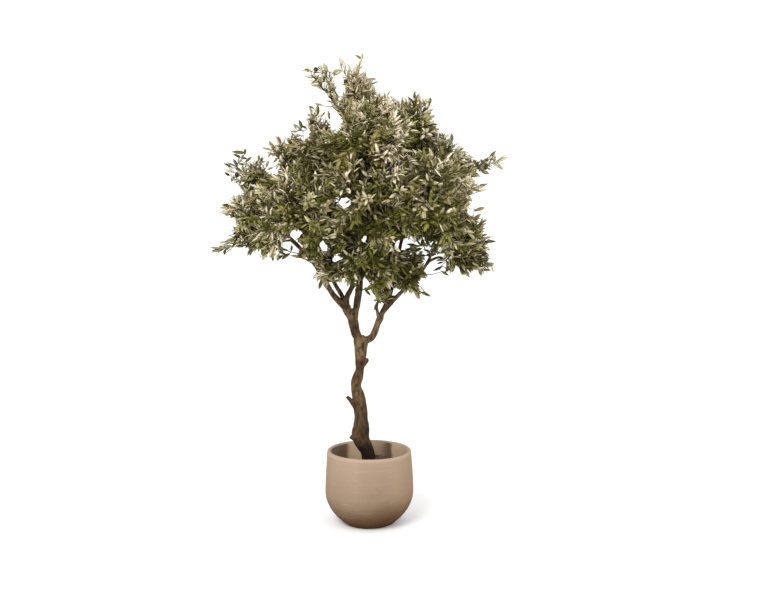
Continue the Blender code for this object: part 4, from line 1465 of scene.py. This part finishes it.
    def fine_twig(self, line: np.ndarray, share: float, turn: float) -> None:
        """A fine twig from a side twig or from the stem.

        Args:
            line: The line that it grows from.
            share: Where on that line.
            turn: Its angle about that line.
        """
        spot = share * (len(line) - 1)
        index = min(int(spot), len(line) - 2)
        run = line[index + 1] - line[index]
        start = line[index] + run * (spot - index)
        along = unit(run)
        angle = self.fine_angle * self.fine_dice.uniform(0.75, 1.35)
        direction = along * math.cos(angle) + square_to(along, turn) * math.sin(angle)
        direction = unit(direction + upwards(self.fine_lift))
        reach = self.reach(start, direction, self.plan.open_to, self.fine_most)
        reach *= self.fine_dice.uniform(0.62, 1.0)
        length = reach - self.end_leaf_room * 0.8
        if length < self.fine_least:
            return
        points = self.twig_line(start, direction, length, 3)
        if not self.plan.clear_of_limbs(points[1:]).all():
            return
        self.sprays += 1
        radii = np.linspace(self.fine_radius, self.fine_tip_radius, len(points))
        self.wood.append(Twig(points, radii, fine=True))
        self.leafy(points, 0.12, self.leaf_gap)

    def grow(self) -> None:
        """Grows the whole mass."""
        space = self.space
        big_leaf = self.big_leaf + self.big_leaf_girth_share * space.girth
        self.sway_turn = self.dice.uniform(0.0, TURN)
        self.stem_end = space.tip - space.axis * big_leaf * self.big_leaf_overlap
        count = round(self.twigs_least + self.twigs_per_metre * (space.half + space.girth))
        phase = self.dice.uniform(0.0, TURN)
        for index in range(count):
            share = self.twig_first + (self.twig_last - self.twig_first) * index / (count - 1)
            spread = self.dice.uniform(-self.twig_turn_spread, self.twig_turn_spread)
            self.rule_twig(share, phase + index * GOLDEN_ANGLE + spread, self.dice, self.plan.owned)
        extra = round(count * self.extra_share * self.fullness)
        phase += math.pi / 3
        for index in range(extra):
            share = 0.05 + 0.95 * (index + self.fine_dice.uniform(0.2, 0.8)) / extra
            turn = phase + index * GOLDEN_ANGLE + self.fine_dice.uniform(-1.0, 1.0)
            self.rule_twig(share, turn, self.fine_dice, self.plan.open_to)
        if self.branch.name in self.plan.rootways:
            self.grow_back()
        self.grow_stem(phase)
        self.reach_tips()

    def grow_stem(self, phase: float) -> None:
        """The stem, carried on past the rule's end, with leaves and fine twigs on its last part.

        Args:
            phase: The angle of its first fine twig.
        """
        space = self.space
        line = [space.root - space.axis * self.stem_lead]
        line += [self.stem_point(share) for share in np.linspace(0.0, 1.0, self.stem_steps + 1)]
        end = space.tip - space.axis * self.stem_end_room
        line += [self.stem_end + (end - self.stem_end) * share for share in (0.5, 1.0)]
        points = np.array(line)
        self.wood.append(Twig(points, np.linspace(self.stem_radius, self.stem_tip_radius, len(points))))
        self.sprays += 1
        self.leafy(points[self.stem_leafy_from:], 0.05, self.leaf_gap)
        for number in range(round(self.stem_fine_twigs * self.fullness)):
            share = (self.stem_leafy_from + 0.5 + number * 1.1) / (len(points) - 1)
            self.fine_twig(points, min(share, 0.97), phase + number * GOLDEN_ANGLE)

    def grow_back(self) -> None:
        """Side twigs from the stem's first part that lean back, where the foliage goes past its root."""
        for number in range(self.back_twigs):
            start = self.stem_point(0.02 + self.back_share * number / self.back_twigs)
            angle = self.back_angle + self.fine_dice.uniform(-0.35, 0.35)
            out = self.space.around(number * GOLDEN_ANGLE)
            direction = unit(self.space.axis * math.cos(angle) + out * math.sin(angle))
            reach = self.reach(start, direction, self.plan.open_to) * self.fine_dice.uniform(0.75, 1.0)
            self.side_twig(start, direction, reach)

    def reach_tips(self) -> None:
        """Grows the shoots that stand apart, twigs to the outermost tips, and the outline's leaves."""
        name, back = self.branch.name, self.space.tip[1]
        for x, z in REACHED.get(name, ()):
            self.sprays += 1
            target = np.array((x / MILLI, back, z / MILLI))
            self.leafy(self.link(target, self.leaf_length * 0.4), 0.40, self.leaf_gap * 0.8, 0.8)
        self.hold = Hold.NOTHING
        for shoot in SHOOTS:
            if shoot.mass == name:
                self.sprays += 1
                points = np.array(smooth_line([np.array(point) / MILLI for point in shoot.points], 0.012))
                radius = shoot.radius / MILLI
                self.wood.append(Twig(points, np.linspace(radius, radius * 0.5, len(points))))
                if shoot.leafy_from < 1.0:
                    self.leafy(points, shoot.leafy_from, self.leaf_gap * 0.9, shoot.leaf_size)
        self.hold = Hold.WINDOWS
        for tip in self.branch.leaf_tips:
            self.sprays += 1
            line = self.link(np.array(tip) / MILLI, self.leaf_length * 0.9)
            self.leafy(line, 0.35, self.leaf_gap * 1.1)
        for foot_x, foot_z, tip_x, tip_z in EDGE_LEAVES.get(name, ()):
            foot = np.array((foot_x / MILLI, back, foot_z / MILLI))
            tip = np.array((tip_x / MILLI, back, tip_z / MILLI))
            line = self.link(foot, 0.0)
            if float(np.linalg.norm(line[-1] - line[0])) > 0.03:
                self.leafy(line, 0.30, self.leaf_gap * 1.3, 0.8)
            self.sprays += 1
            length = float(np.linalg.norm(tip - foot))
            direction = unit(tip - foot)
            across = unit(np.cross(direction, self.edge_leaf_side))
            facing = np.cross(across, direction)
            self.leaves.append(Leaf(foot, direction, across, facing, length, self.sprays, Hold.NOTHING))

    def link(self, target: np.ndarray, short: float) -> np.ndarray:
        """A fine twig from the nearest wood towards a place.

        Args:
            target: The place.
            short: How far before it the twig ends.

        Returns:
            The twig's line.
        """
        start = nearest_wood(self.wood, target)
        far = float(np.linalg.norm(target - start))
        length = max(far - short, min(far, 0.010))
        line = self.twig_line(start, unit(target - start), length, 4)
        radii = np.linspace(self.link_radius, self.link_tip_radius, len(line))
        self.wood.append(Twig(line, radii, fine=True))
        return line


@dataclass(frozen=True)
class LeafForm:
    """One modelled leaf of unit length: a folded blade in its own outline, with a pale back."""

    droop: float
    fold: float
    sweep: float
    widest: float = 0.46
    thickness: float = 0.030
    rows: int = 3
    merge: float = 1e-4

    def half_width(self, share: float) -> float:
        """Half the blade's width, for a blade of unit width, at a share of its length."""
        if share < self.widest:
            return 0.5 * math.sin(math.pi / 2 * (share / self.widest)) ** 0.9
        return 0.5 * math.cos(math.pi / 2 * (share - self.widest) / (1 - self.widest)) ** 0.85

    def shape(self) -> Shape:
        """Models the leaf: x across, y out of its upper side, z along.

        Returns:
            The shape, upper faces in slot 0 and the back's in slot 1.
        """
        add = bpy.ops.mesh.primitive_grid_add
        piece = primitive(add, "leaf_form", x_subdivisions=2, y_subdivisions=self.rows, size=1.0)
        with edit_mode():
            bpy.ops.transform.rotate(value=-math.pi / 2, orient_axis="X", center_override=(0.0, 0.0, 0.0))
        points = points_of(piece)
        share = points[:, 2] - points[:, 2].min()
        share = share / share.max()
        lateral = np.sign(np.round(points[:, 0], 3))
        width = np.array([self.half_width(float(value)) for value in share])
        move_points(piece, np.column_stack([
            lateral * width + self.sweep * np.sin(math.pi * share),
            np.abs(lateral) * width * self.fold - self.droop * share**2,
            share * (1.0 - 0.35 * self.droop * share),
        ]))
        self._double(piece)
        return Shape.of(piece)

    def _double(self, piece: bpy.types.Object) -> None:
        """Gives the sheet a back of its own that shares its edge.

        Args:
            piece: The sheet.
        """
        make_active(piece)
        with edit_mode():
            bpy.ops.mesh.remove_doubles(threshold=self.merge)
            bpy.ops.mesh.duplicate()
            bpy.ops.mesh.flip_normals()
        back = [face.select for face in piece.data.polygons]
        faces_up = sum(face.normal.y for face in piece.data.polygons if not face.select) > 0
        lift = -self.thickness if faces_up else self.thickness
        for vertex in piece.data.vertices:
            x, y, z = vertex.co
            middle = abs(x - self.sweep * math.sin(math.pi * z)) < 0.02
            if vertex.select and middle and 0.04 < z < 0.96:
                vertex.co.y += lift
        for face, behind in zip(piece.data.polygons, back):
            face.material_index = int(behind if faces_up else not behind)
        with edit_mode():
            bpy.ops.mesh.remove_doubles(threshold=self.merge)


@dataclass
class Foliage:
    """Every mass of the crown: its twigs as two pieces, and the leaves as one piece for each tint."""

    plan: Plan
    sparse: dict[str, float] = field(default_factory=lambda: {
        "right_shoot": 0.55, "crown_left": 0.70, "low_shoot": 0.8, "leader": 0.85, "low_left": 0.85,
    })
    forms: tuple[LeafForm, ...] = (
        LeafForm(0.02, 0.22, 0.00),
        LeafForm(0.14, 0.20, 0.03),
        LeafForm(0.24, 0.30, -0.02),
        LeafForm(-0.08, 0.20, -0.04),
        LeafForm(0.10, 0.40, 0.05),
    )
    dark: tuple[float, ...] = (0.36, 0.30, 0.18, 0.08, 0.04, 0.03, 0.01)
    pale: tuple[float, ...] = (0.02, 0.06, 0.13, 0.16, 0.15, 0.25, 0.23)
    paleness: float = 0.33
    palest: float = 1.15
    tested: tuple[float, ...] = (0.35, 0.75)
    stray_share: float = 0.10
    seed: int = 4021

    def build(self) -> None:
        """Grows the masses, then makes and dresses the pieces."""
        self.masses = []
        for index, branch in enumerate(BRANCHES):
            growth = Growth(self.plan, index, self.sparse.get(branch.name, 1.0))
            growth.grow()
            self.masses.append(growth)
        self._twigs()
        self._leaves()

    def _twigs(self) -> None:
        """The stems and side twigs as one piece, the fine ones as another."""
        material = Twiggy().material()
        for name, fine, sides in (("twigs", False, 6), ("fine_twigs", True, 4)):
            wood = [twig for mass in self.masses for twig in mass.wood if twig.fine is fine]
            piece = tubes(name, [(twig.points, twig.radii) for twig in wood], sides)
            hand_over(piece, [material])

    def _tint_weights(self, points: np.ndarray) -> np.ndarray:
        """How likely each tint is at each place.

        Args:
            points: One place in each row.

        Returns:
            One row of weights, in Tint's order, for each.
        """
        share = np.array([
            self.paleness + 0.50 * noise.noise((x * 10, y * 10, z * 10))
            + 0.45 * noise.noise((x * 24, y * 24 + 7, z * 24))
            for x, y, z in points
        ])
        # The patches shift the tints: partly painted light and shade in parts of the crown.
        for patch in PATCHES:
            away = np.hypot(points[:, 0] - patch.x, points[:, 2] - patch.z) / patch.radius
            share += patch.paler * np.exp(-(away**2))
        share = np.clip(share, 0.0, self.palest)[:, None]
        return np.maximum(np.array(self.dark) * (1 - share) + np.array(self.pale) * share, 0.0)

    def _kinds(self, sprays: np.ndarray, feet: np.ndarray, dice: np.random.Generator) -> np.ndarray:
        """Deals out the tints: one for each spray, and any for a few stray leaves.

        Args:
            sprays: The spray of each leaf.
            feet: The foot of each leaf.
            dice: The mass's own dice.

        Returns:
            The number of each leaf's tint.
        """
        centres = np.zeros((sprays.max() + 1, 3))
        np.add.at(centres, sprays, feet)
        centres /= np.maximum(np.bincount(sprays), 1)[:, None]
        weights = self._tint_weights(centres)
        rolls = dice.random(len(centres))[:, None]
        kinds = (np.cumsum(weights, axis=1) / weights.sum(axis=1, keepdims=True) < rolls).sum(axis=1)
        stray = dice.random(len(sprays)) < self.stray_share
        return np.where(stray, dice.integers(0, len(Tint), len(sprays)), kinds[sprays])

    def _kept(self, mass: Growth) -> list[np.ndarray]:
        """The leaves of one mass that keep to what they have to.

        Args:
            mass: The grown mass.

        Returns:
            Those leaves' feet, directions, sides, facings, lengths and tints.
        """
        leaves = mass.leaves
        foot, axis, across, facing, length, spray = (
            np.array([getattr(leaf, part) for leaf in leaves])
            for part in ("foot", "axis", "across", "facing", "length", "spray")
        )
        held = np.ones(len(foot), bool)
        free = np.ones(len(foot), bool)
        for share in self.tested:
            spots = foot + axis * (length * share)[:, None]
            held &= self.plan.open_to(spots, mass.index)
            free &= self.plan.out_of_windows(spots)
        # The last spots, towards the leaves' ends, keep clear of the wood too.
        held &= self.plan.clear_of_limbs(spots)
        held |= free & np.array([leaf.hold is Hold.WINDOWS for leaf in leaves])
        held |= np.array([leaf.hold is Hold.NOTHING for leaf in leaves])
        kind = self._kinds(spray, foot, np.random.default_rng((self.seed, mass.index)))
        return [values[held] for values in (foot, axis, across, facing, length, kind)]

    def _leaves(self) -> None:
        """Places every leaf that is kept, dealt out by tint."""
        kept = zip(*[self._kept(mass) for mass in self.masses])
        foot, axis, across, facing, length, kind = (np.concatenate(values) for values in kept)
        LOG.info("leaves: %d", len(foot))
        dice = np.random.default_rng(self.seed)
        width = length * Growth.leaf_width * dice.uniform(0.85, 1.2, len(length))
        frames = np.stack(
            [across * width[:, None], facing * width[:, None], axis * length[:, None]], axis=2
        )
        shapes = [form.shape() for form in self.forms]
        picks = dice.integers(0, len(shapes), len(foot))
        nodes = [f"{branch.name}_leaves" for branch in BRANCHES]
        for number, tint in enumerate(Tint):
            mine = kind == number
            name = f"leaves_{tint.value.name}"
            piece = joined_copies(name, shapes, picks[mine], frames[mine], foot[mine])
            hand_over(piece, tint.value.materials(), nodes)


@dataclass
class Olives:
    """Ripe olives on short stalks."""

    foliage: Foliage
    half_width: float = 0.0088
    half_height: float = 0.0115
    taper: float = 0.12
    hang: float = 0.022
    stalk_radius: float = 0.0009
    stalk_arch: float = 0.004
    seed: int = 77
    hidden_masses: tuple[str, ...] = (
        "rear_left", "rear_middle", "rear_right", "rear_high", "rear_low", "rear_middle", "rear_right",
        "rear_left", "front_left", "front_right",
    )

    def _form(self) -> Shape:
        """Models one olive of its real size, round its origin."""
        add = bpy.ops.mesh.primitive_uv_sphere_add
        piece = primitive(add, "olive_form", segments=12, ring_count=8, radius=1.0)
        points = points_of(piece)
        width = 1.0 - self.taper * np.clip(-points[:, 2], 0.0, 1.0) ** 2
        points[:, :2] *= (self.half_width * width)[:, None]
        points[:, 2] *= self.half_height
        move_points(piece, points)
        return Shape.of(piece)

    def build(self) -> None:
        """Hangs the olives at their places and some more round the back."""
        dice = random.Random(self.seed)
        masses = {mass.branch.name: mass for mass in self.foliage.masses}
        fruiting = [mass for mass in masses.values() if mass.branch.olive]
        spots = [(mass, np.array(mass.branch.olive) / MILLI) for mass in fruiting]
        for name in self.hidden_masses:
            mass = masses[name]
            line = dice.choice([twig.points for twig in mass.wood if twig.fine])
            spots.append((mass, line[-1] + upwards(-self.hang)))
        lines = []
        for mass, spot in spots:
            top = spot + upwards(self.half_height * 0.96)
            root = nearest_wood(mass.wood, top)
            middle = (root + top) / 2 + upwards(self.stalk_arch)
            lines.append((np.array([root, middle, top]), np.full(3, self.stalk_radius)))
        feet = np.array([spot for mass, spot in spots])
        frames = np.tile(np.eye(3), (len(feet), 1, 1))
        piece = joined_copies("olives", [self._form()], np.zeros(len(feet), int), frames, feet)
        hand_over(piece, [OliveSkin().material()])
        stalks = tubes("olive_stalks", lines, 6)
        hand_over(stalks, [Twiggy().material()], smooth=False)


# ---------------------------------------------------------------- wood


@dataclass(frozen=True)
class Knot:
    """A swelling of the bark, with a sunken middle."""

    centre: Row
    radius: float
    height: float


@dataclass
class Wood:
    """The trunk, the limbs and the boughs, with the relief of their bark."""

    plan: Plan

    # The height where a stub starts, its tip, and its radius at both ends.
    stubs: tuple[tuple[float, Row, float, float], ...] = (
        (0.345, (-0.083, -0.004, 0.374), 0.0190, 0.0065),
        (0.485, (-0.096, -0.012, 0.552), 0.0175, 0.0078),
        (0.672, (-0.005, -0.004, 0.712), 0.0165, 0.0068),
    )
    # Rows of x, y, z and radius that fill the forks.
    webs: tuple[tuple[tuple[float, ...], ...], ...] = (
        (
            (-0.045, 0.000, 0.790, 0.0200), (-0.018, 0.000, 0.793, 0.0160), (0.009, 0.000, 0.804, 0.0152),
            (0.026, 0.000, 0.828, 0.0126), (0.037, 0.000, 0.862, 0.0112),
        ),
        ((-0.090, 0.000, 0.925, 0.0140), (-0.099, -0.003, 0.958, 0.0118), (-0.105, -0.006, 0.984, 0.0090)),
    )
    full: float = 0.0012
    # The limb, the height, the span, and how much thicker it is there.
    swells: tuple[tuple[str, float, float, float], ...] = (
        ("trunk", 0.692, 0.018, 0.0030),
        ("trunk", 0.790, 0.025, 0.0008),
        ("trunk", 0.520, 0.030, 0.0010),
        ("trunk", 0.395, 0.025, 0.0022),
        ("right_limb", 0.880, 0.018, 0.0030),
        ("right_limb", 0.840, 0.030, 0.0010),
        ("leader", 1.000, 0.060, 0.0022),
        ("inner_left", 0.985, 0.035, 0.0012),
        ("outer_left", 0.985, 0.030, -0.0012),
        ("left_limb", 0.926, 0.014, -0.0012),
        ("leader", 0.920, 0.022, -0.0025),
    )
    # The limb, the height, the span, and how far to the right it is moved there.
    shifts: tuple[tuple[str, float, float, float], ...] = (
        ("back_left", 0.985, 0.033, 0.0128),
        ("inner_left", 0.970, 0.030, -0.0045),
        ("leader", 1.030, 0.050, 0.0040),
        ("outer_left", 0.980, 0.040, -0.0030),
        ("left_limb", 0.928, 0.015, -0.0085),
        ("inner_left", 0.925, 0.022, -0.0115),
    )
    knots: tuple[Knot, ...] = (
        Knot((-0.015, -0.024, 0.410), 0.016, 0.0040),
        Knot((-0.047, -0.030, 0.372), 0.014, 0.0030),
        Knot((-0.060, -0.012, 0.613), 0.014, 0.0045),
        Knot((-0.025, -0.018, 0.775), 0.016, 0.0035),
        Knot((0.055, -0.008, 0.884), 0.012, 0.0040),
        Knot((-0.078, -0.016, 0.905), 0.016, 0.0030),
    )
    main_limbs: tuple[str, ...] = (
        "left_limb", "outer_left", "back_left", "inner_left", "leader", "right_limb", "right_low",
    )
    step: float = 0.012
    bough_step: float = 0.015
    web_step: float = 0.010
    sides: int = 16
    voxel: float = 0.0023
    bough_voxel: float = 0.0024
    furrow: float = 0.0016
    lump: float = 0.0030

    def _line(self, name: str, step: float) -> Line:
        """A limb's line, a little fuller than its solid, as fusing and smoothing draw it in.

        Args:
            name: The limb.
            step: About how far apart its points lie.

        Returns:
            Points and radii.
        """
        points, radii = self.plan.limbs[name].fine(step)
        radii += self.full
        for limb, height, span, more in self.swells:
            if limb == name:
                radii += more * np.exp(-(((points[:, 2] - height) / span) ** 2))
        for limb, height, span, move in self.shifts:
            if limb == name:
                points[:, 0] += move * np.exp(-(((points[:, 2] - height) / span) ** 2))
        return points, radii

    def _trunk_lines(self) -> list[Line]:
        """The trunk's line, the webs in its forks and its stubs."""
        lines = [self._line("trunk", self.step)]
        for rows in self.webs:
            web = np.array(smooth_line([np.array(row) for row in rows], self.web_step))
            lines.append((web[:, :3], web[:, 3]))
        stations = self.plan.limbs["trunk"].stations
        for height, tip, radius, tip_radius in self.stubs:
            foot = np.array([np.interp(height, stations[:, 2], stations[:, axis]) for axis in range(3)])
            end = np.array(tip)
            points = np.array([foot, foot + (end - foot) * 0.55, end])
            lines.append((points, np.array([radius, (radius + tip_radius) / 2, tip_radius])))
        return lines

    def _relief(self, piece: bpy.types.Object) -> None:
        """Moves the surface along its normals: lumps, furrows along the grain, and knots.

        Args:
            piece: A remeshed, smoothed piece.
        """
        points, normals = points_of(piece), normals_of(piece)
        heights = np.empty(len(points))
        for index, (x, y, z) in enumerate(points):
            lump = noise.noise((x * 26, y * 26, z * 17))
            furrow = noise.noise((x * 150, y * 150, z * 26))
            crease = abs(noise.noise((x * 75 + 9, y * 75, z * 15)))
            heights[index] = self.lump * lump + self.furrow * (0.8 * furrow + 1.6 * crease - 0.45)
        # Thin wood gets less relief.
        heights *= np.clip((self._girth(points) - 0.004) / 0.022, 0.12, 1.0)
        for knot in self.knots:
            away = np.linalg.norm(points - np.array(knot.centre), axis=1) / knot.radius
            heights += knot.height * (np.exp(-(away**2)) - 0.75 * np.exp(-((away * 2.6) ** 2)))
        move_points(piece, points + normals * heights[:, None])

    def _girth(self, points: np.ndarray) -> np.ndarray:
        """The radius of the nearest limb at each point.

        Args:
            points: One point in each row.

        Returns:
            One radius for each.
        """
        best = np.full(len(points), np.inf)
        girth = np.zeros(len(points))
        for limb in self.plan.limbs.values():
            for away, radius in limb.beside(points):
                outside = away - radius
                closer = outside < best
                best[closer], girth[closer] = outside[closer], radius[closer]
        return girth

    def _piece(self, name: str, lines: list[Line], voxel: float, nodes: list[str]) -> None:
        """Makes one piece of bark: tubes fused, smoothed and given relief.

        Args:
            name: Its name.
            lines: The tubes.
            voxel: The size of the remesh's cells.
            nodes: The solids that it replaces.
        """
        piece = tubes(name, lines, self.sides)
        apply_modifier(piece, "REMESH", mode="VOXEL", voxel_size=voxel)
        apply_modifier(piece, "SMOOTH", factor=0.5, iterations=4)
        self._relief(piece)
        piece.data.materials.clear()
        hand_over(piece, [Bark(f"{name}_bark").material()], nodes)

    def build(self) -> None:
        """Makes the trunk with its main limbs, and the thinner boughs."""
        lines = self._trunk_lines() + [self._line(name, self.step) for name in self.main_limbs]
        nodes = ["trunk"] + [name if name.endswith("limb") else f"{name}_bough" for name in self.main_limbs]
        self._piece("trunk_and_limbs", lines, self.voxel, nodes)
        rest = [branch for branch in BRANCHES if branch.name not in self.main_limbs]
        lines = [self._line(branch.name, self.bough_step) for branch in rest]
        self._piece("thin_boughs", lines, self.bough_voxel, [branch.node for branch in rest])


# ---------------------------------------------------------------- pot and soil


@dataclass
class Pot:
    """The turned pot with its rounded lip."""

    height: float = 0.317
    base_radius: float = 0.1065
    belly_radius: float = 0.191
    belly_height: float = 0.146
    belly_exponent: float = 2.25
    shoulder_radius: float = 0.1820
    shoulder_height: float = 0.306
    wall: float = 0.017
    floor: float = 0.020
    foot_bevel: float = 0.003
    sides: int = 160
    outer_steps: int = 30
    lip_steps: int = 12
    inner_steps: int = 14

    def outer_radius(self, height: float) -> float:
        """The outside's radius at a height."""
        if height < self.belly_height:
            rise = 1.0 - height / self.belly_height
            return self.belly_radius - (self.belly_radius - self.base_radius) * rise**self.belly_exponent
        rise = (height - self.belly_height) / (self.shoulder_height - self.belly_height)
        return self.belly_radius - (self.belly_radius - self.shoulder_radius) * rise**1.4

    def rings(self) -> list[tuple[float, float]]:
        """Radius and height of every ring, from the foot up the outside, over the lip and down inside."""
        bevel, half = self.foot_bevel, self.wall / 2
        rings = [(self.base_radius - bevel, 0.0), (self.outer_radius(bevel), bevel)]
        for step in range(1, self.outer_steps + 1):
            height = bevel + (self.shoulder_height - bevel) * step / self.outer_steps
            rings.append((self.outer_radius(height), height))
        centre = self.outer_radius(self.shoulder_height) - half
        top = self.height - half
        for step in range(self.lip_steps + 1):
            turn = math.pi * step / self.lip_steps
            rings.append((centre + half * math.cos(turn), top + half * math.sin(turn)))
        for step in range(1, self.inner_steps + 1):
            height = top + (self.floor - top) * step / self.inner_steps
            rings.append((self.outer_radius(height) - self.wall, height))
        return rings

    def build(self) -> None:
        """Extrudes the pot ring by ring and closes its floor and underside."""
        rings = self.rings()
        add = bpy.ops.mesh.primitive_circle_add
        pot = primitive(add, "stoneware_pot", vertices=self.sides, radius=rings[0][0], fill_type="NGON")
        with edit_mode():
            for (radius, height), (wider, higher) in zip(rings, rings[1:]):
                extrude_ring(higher - height, wider / radius, higher)
            bpy.ops.mesh.select_all(action="SELECT")
            bpy.ops.mesh.normals_make_consistent(inside=False)
        points = points_of(pot)
        around, up = np.arctan2(points[:, 1], points[:, 0]), points[:, 2]
        wave = 0.0005 * np.sin(3 * around + 14 * up) + 0.0004 * np.sin(5 * around - 21 * up)
        points[:, :2] *= (1.0 + wave / self.belly_radius)[:, None]
        move_points(pot, points)
        make_active(pot)
        bpy.ops.object.shade_smooth_by_angle(angle=math.radians(50))
        for face in pot.data.polygons:
            x, y, z = face.center
            within = math.hypot(x, y) < self.outer_radius(z) - self.wall * 0.7
            face.material_index = int(within and self.floor * 0.5 < z < self.height - self.wall * 0.35)
        clay = Stoneware()
        hand_over(pot, [clay.material(), clay.inside()], ["pot"], smooth=False)


@dataclass
class Soil:
    """The fill of the pot: an uneven surface with a low mound beside the trunk, and crumbs."""

    pot: Pot
    level: float = 0.222
    edge_level: float = 0.2125
    mound_centre: Row = (0.034, 0.020, 0.220)
    mound_size: Row = (0.085, 0.075, 0.062)
    sides: int = 96
    circles: int = 34
    thickness: float = 0.010
    crumbs: int = 420
    crumb_sizes: tuple[float, float] = (0.0012, 0.0042)
    crumb_edge: float = 0.006
    crumb_earth: Earth = Earth((0.040, 0.022, 0.014), (0.150, 0.078, 0.048))
    seed: int = 5

    def surface(self, x: float, y: float, radius: float) -> float:
        """The soil's height at a place.

        Args:
            x: Sideways.
            y: Towards the back.
            radius: How far the soil reaches from the middle.

        Returns:
            The height.
        """
        share = min(1.0, math.hypot(x, y) / radius)
        height = self.level + (self.edge_level - self.level) * share**2
        across = (x - self.mound_centre[0]) / self.mound_size[0]
        back = (y - self.mound_centre[1]) / self.mound_size[1]
        inside = 1.0 - across**2 - back**2
        mound = self.mound_centre[2] + self.mound_size[2] * math.sqrt(max(inside, 0.0))
        rough = noise.noise((x * 45, y * 45, 1.0)) * 0.0035 + noise.noise((x * 160, y * 160, 4.0)) * 0.0022
        return max(height, mound) + rough * (1.0 - 0.5 * share)

    def build(self) -> None:
        """Makes the surface from rings drawn in to the middle, and strews the crumbs."""
        radius = self.pot.outer_radius(self.level) - self.pot.wall + 0.001
        add = bpy.ops.mesh.primitive_circle_add
        soil = primitive(add, "potting_soil", vertices=self.sides, radius=radius)
        shares = [1.0 - index / self.circles for index in range(self.circles)]
        with edit_mode():
            for last, share in zip(shares, shares[1:]):
                extrude_ring(0.0, share / last, 0.0)
            bpy.ops.mesh.edge_face_add()
        points = points_of(soil)
        for point in points:
            point[2] = self.surface(point[0], point[1], radius)
        move_points(soil, points)
        if sum(face.normal.z for face in soil.data.polygons) < 0:
            make_active(soil)
            with edit_mode():
                bpy.ops.mesh.flip_normals()
        apply_modifier(soil, "SOLIDIFY", thickness=self.thickness, offset=-1.0)
        hand_over(soil, [Earth().material()], ["soil"])
        self._crumbs(radius)

    def _crumbs(self, radius: float) -> None:
        """Strews small lumps of earth.

        Args:
            radius: How far the soil reaches from the middle.
        """
        lump = primitive(bpy.ops.mesh.primitive_ico_sphere_add, "lump", subdivisions=1, radius=1.0)
        points = points_of(lump)
        uneven = np.array([1.0 + 0.35 * noise.noise((x * 2, y * 2, z * 2)) for x, y, z in points])
        move_points(lump, points * uneven[:, None])
        form = Shape.of(lump)
        dice = random.Random(self.seed)
        feet, frames = [], []
        while len(feet) < self.crumbs:
            far = (radius - self.crumb_edge) * math.sqrt(dice.random())
            turn = dice.uniform(0.0, TURN)
            x, y = far * math.cos(turn), far * math.sin(turn)
            size = dice.uniform(*self.crumb_sizes)
            feet.append((x, y, self.surface(x, y, radius) + size * 0.3))
            spin = Matrix.Rotation(dice.uniform(0.0, 6.28), 3, Vector((dice.random(), dice.random(), 0.4)))
            frames.append(np.array(spin) * size)
        picks = np.zeros(len(feet), int)
        piece = joined_copies("soil_crumbs", [form], picks, np.array(frames), np.array(feet))
        hand_over(piece, [self.crumb_earth.material()], smooth=False)


# ---------------------------------------------------------------- studio


@dataclass
class Studio:
    """The camera, the pale floor and the soft light."""

    camera_distance: float = 3.75
    camera_height: float = 1.263
    pitch: float = math.radians(4.49)
    turn: float = math.radians(0.977)
    lens: float = 41.22
    sensor: float = 36.0
    floor_half: float = 14.0
    floor_white: Colour = (0.90, 0.90, 0.90)
    daylight: float = 1.15

    # Each lamp's name, its place, what it points at, the side of its square and its power in watts.
    lamps: tuple[tuple[str, Row, Row, float, float], ...] = (
        ("key", (-1.8, -3.6, 3.7), (0.0, 0.0, 1.2), 2.0, 160.0),
        ("fill", (2.8, -2.6, 2.2), (0.0, 0.0, 1.1), 2.4, 44.0),
    )

    def _camera(self) -> None:
        """Sets the camera before the tree, looking slightly down."""
        data = bpy.data.cameras.new("camera")
        data.sensor_width = self.sensor
        data.lens = self.lens
        camera = link_new("camera", data)
        camera.location = (0.0, -self.camera_distance, self.camera_height)
        camera.rotation_euler = (math.pi / 2 - self.pitch, 0.0, -self.turn)
        bpy.context.scene.camera = camera

    def _floor(self) -> None:
        """Lays the floor."""
        floor = primitive(bpy.ops.mesh.primitive_plane_add, "floor", size=2 * self.floor_half)
        floor.data.materials.append(Shader("floor_white").finish(self.floor_white, 0.9))

    def _lamps(self) -> None:
        """Hangs the soft lamps."""
        for name, place, aim, size, power in self.lamps:
            data = bpy.data.lights.new(name, "AREA")
            data.size = size
            data.energy = power
            lamp = link_new(name, data)
            lamp.location = place
            lamp.rotation_euler = (Vector(aim) - Vector(place)).to_track_quat("-Z", "Y").to_euler()

    def build(self) -> None:
        """Sets up everything round the tree."""
        scene = bpy.context.scene
        scene.view_settings.view_transform = "Standard"
        world = bpy.data.worlds.new("studio")
        world.use_nodes = True
        background = world.node_tree.nodes["Background"]
        background.inputs["Color"].default_value = (1.0, 1.0, 1.0, 1.0)
        background.inputs["Strength"].default_value = self.daylight
        scene.world = world
        self._camera()
        self._floor()
        self._lamps()


def main() -> None:
    """Builds the studio and the tree, piece by piece."""
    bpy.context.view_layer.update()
    plan = Plan()
    Studio().build()
    pot = Pot()
    pot.build()
    Soil(pot).build()
    Wood(plan).build()
    foliage = Foliage(plan)
    foliage.build()
    Olives(foliage).build()


if __name__ == "__main__":
    main()
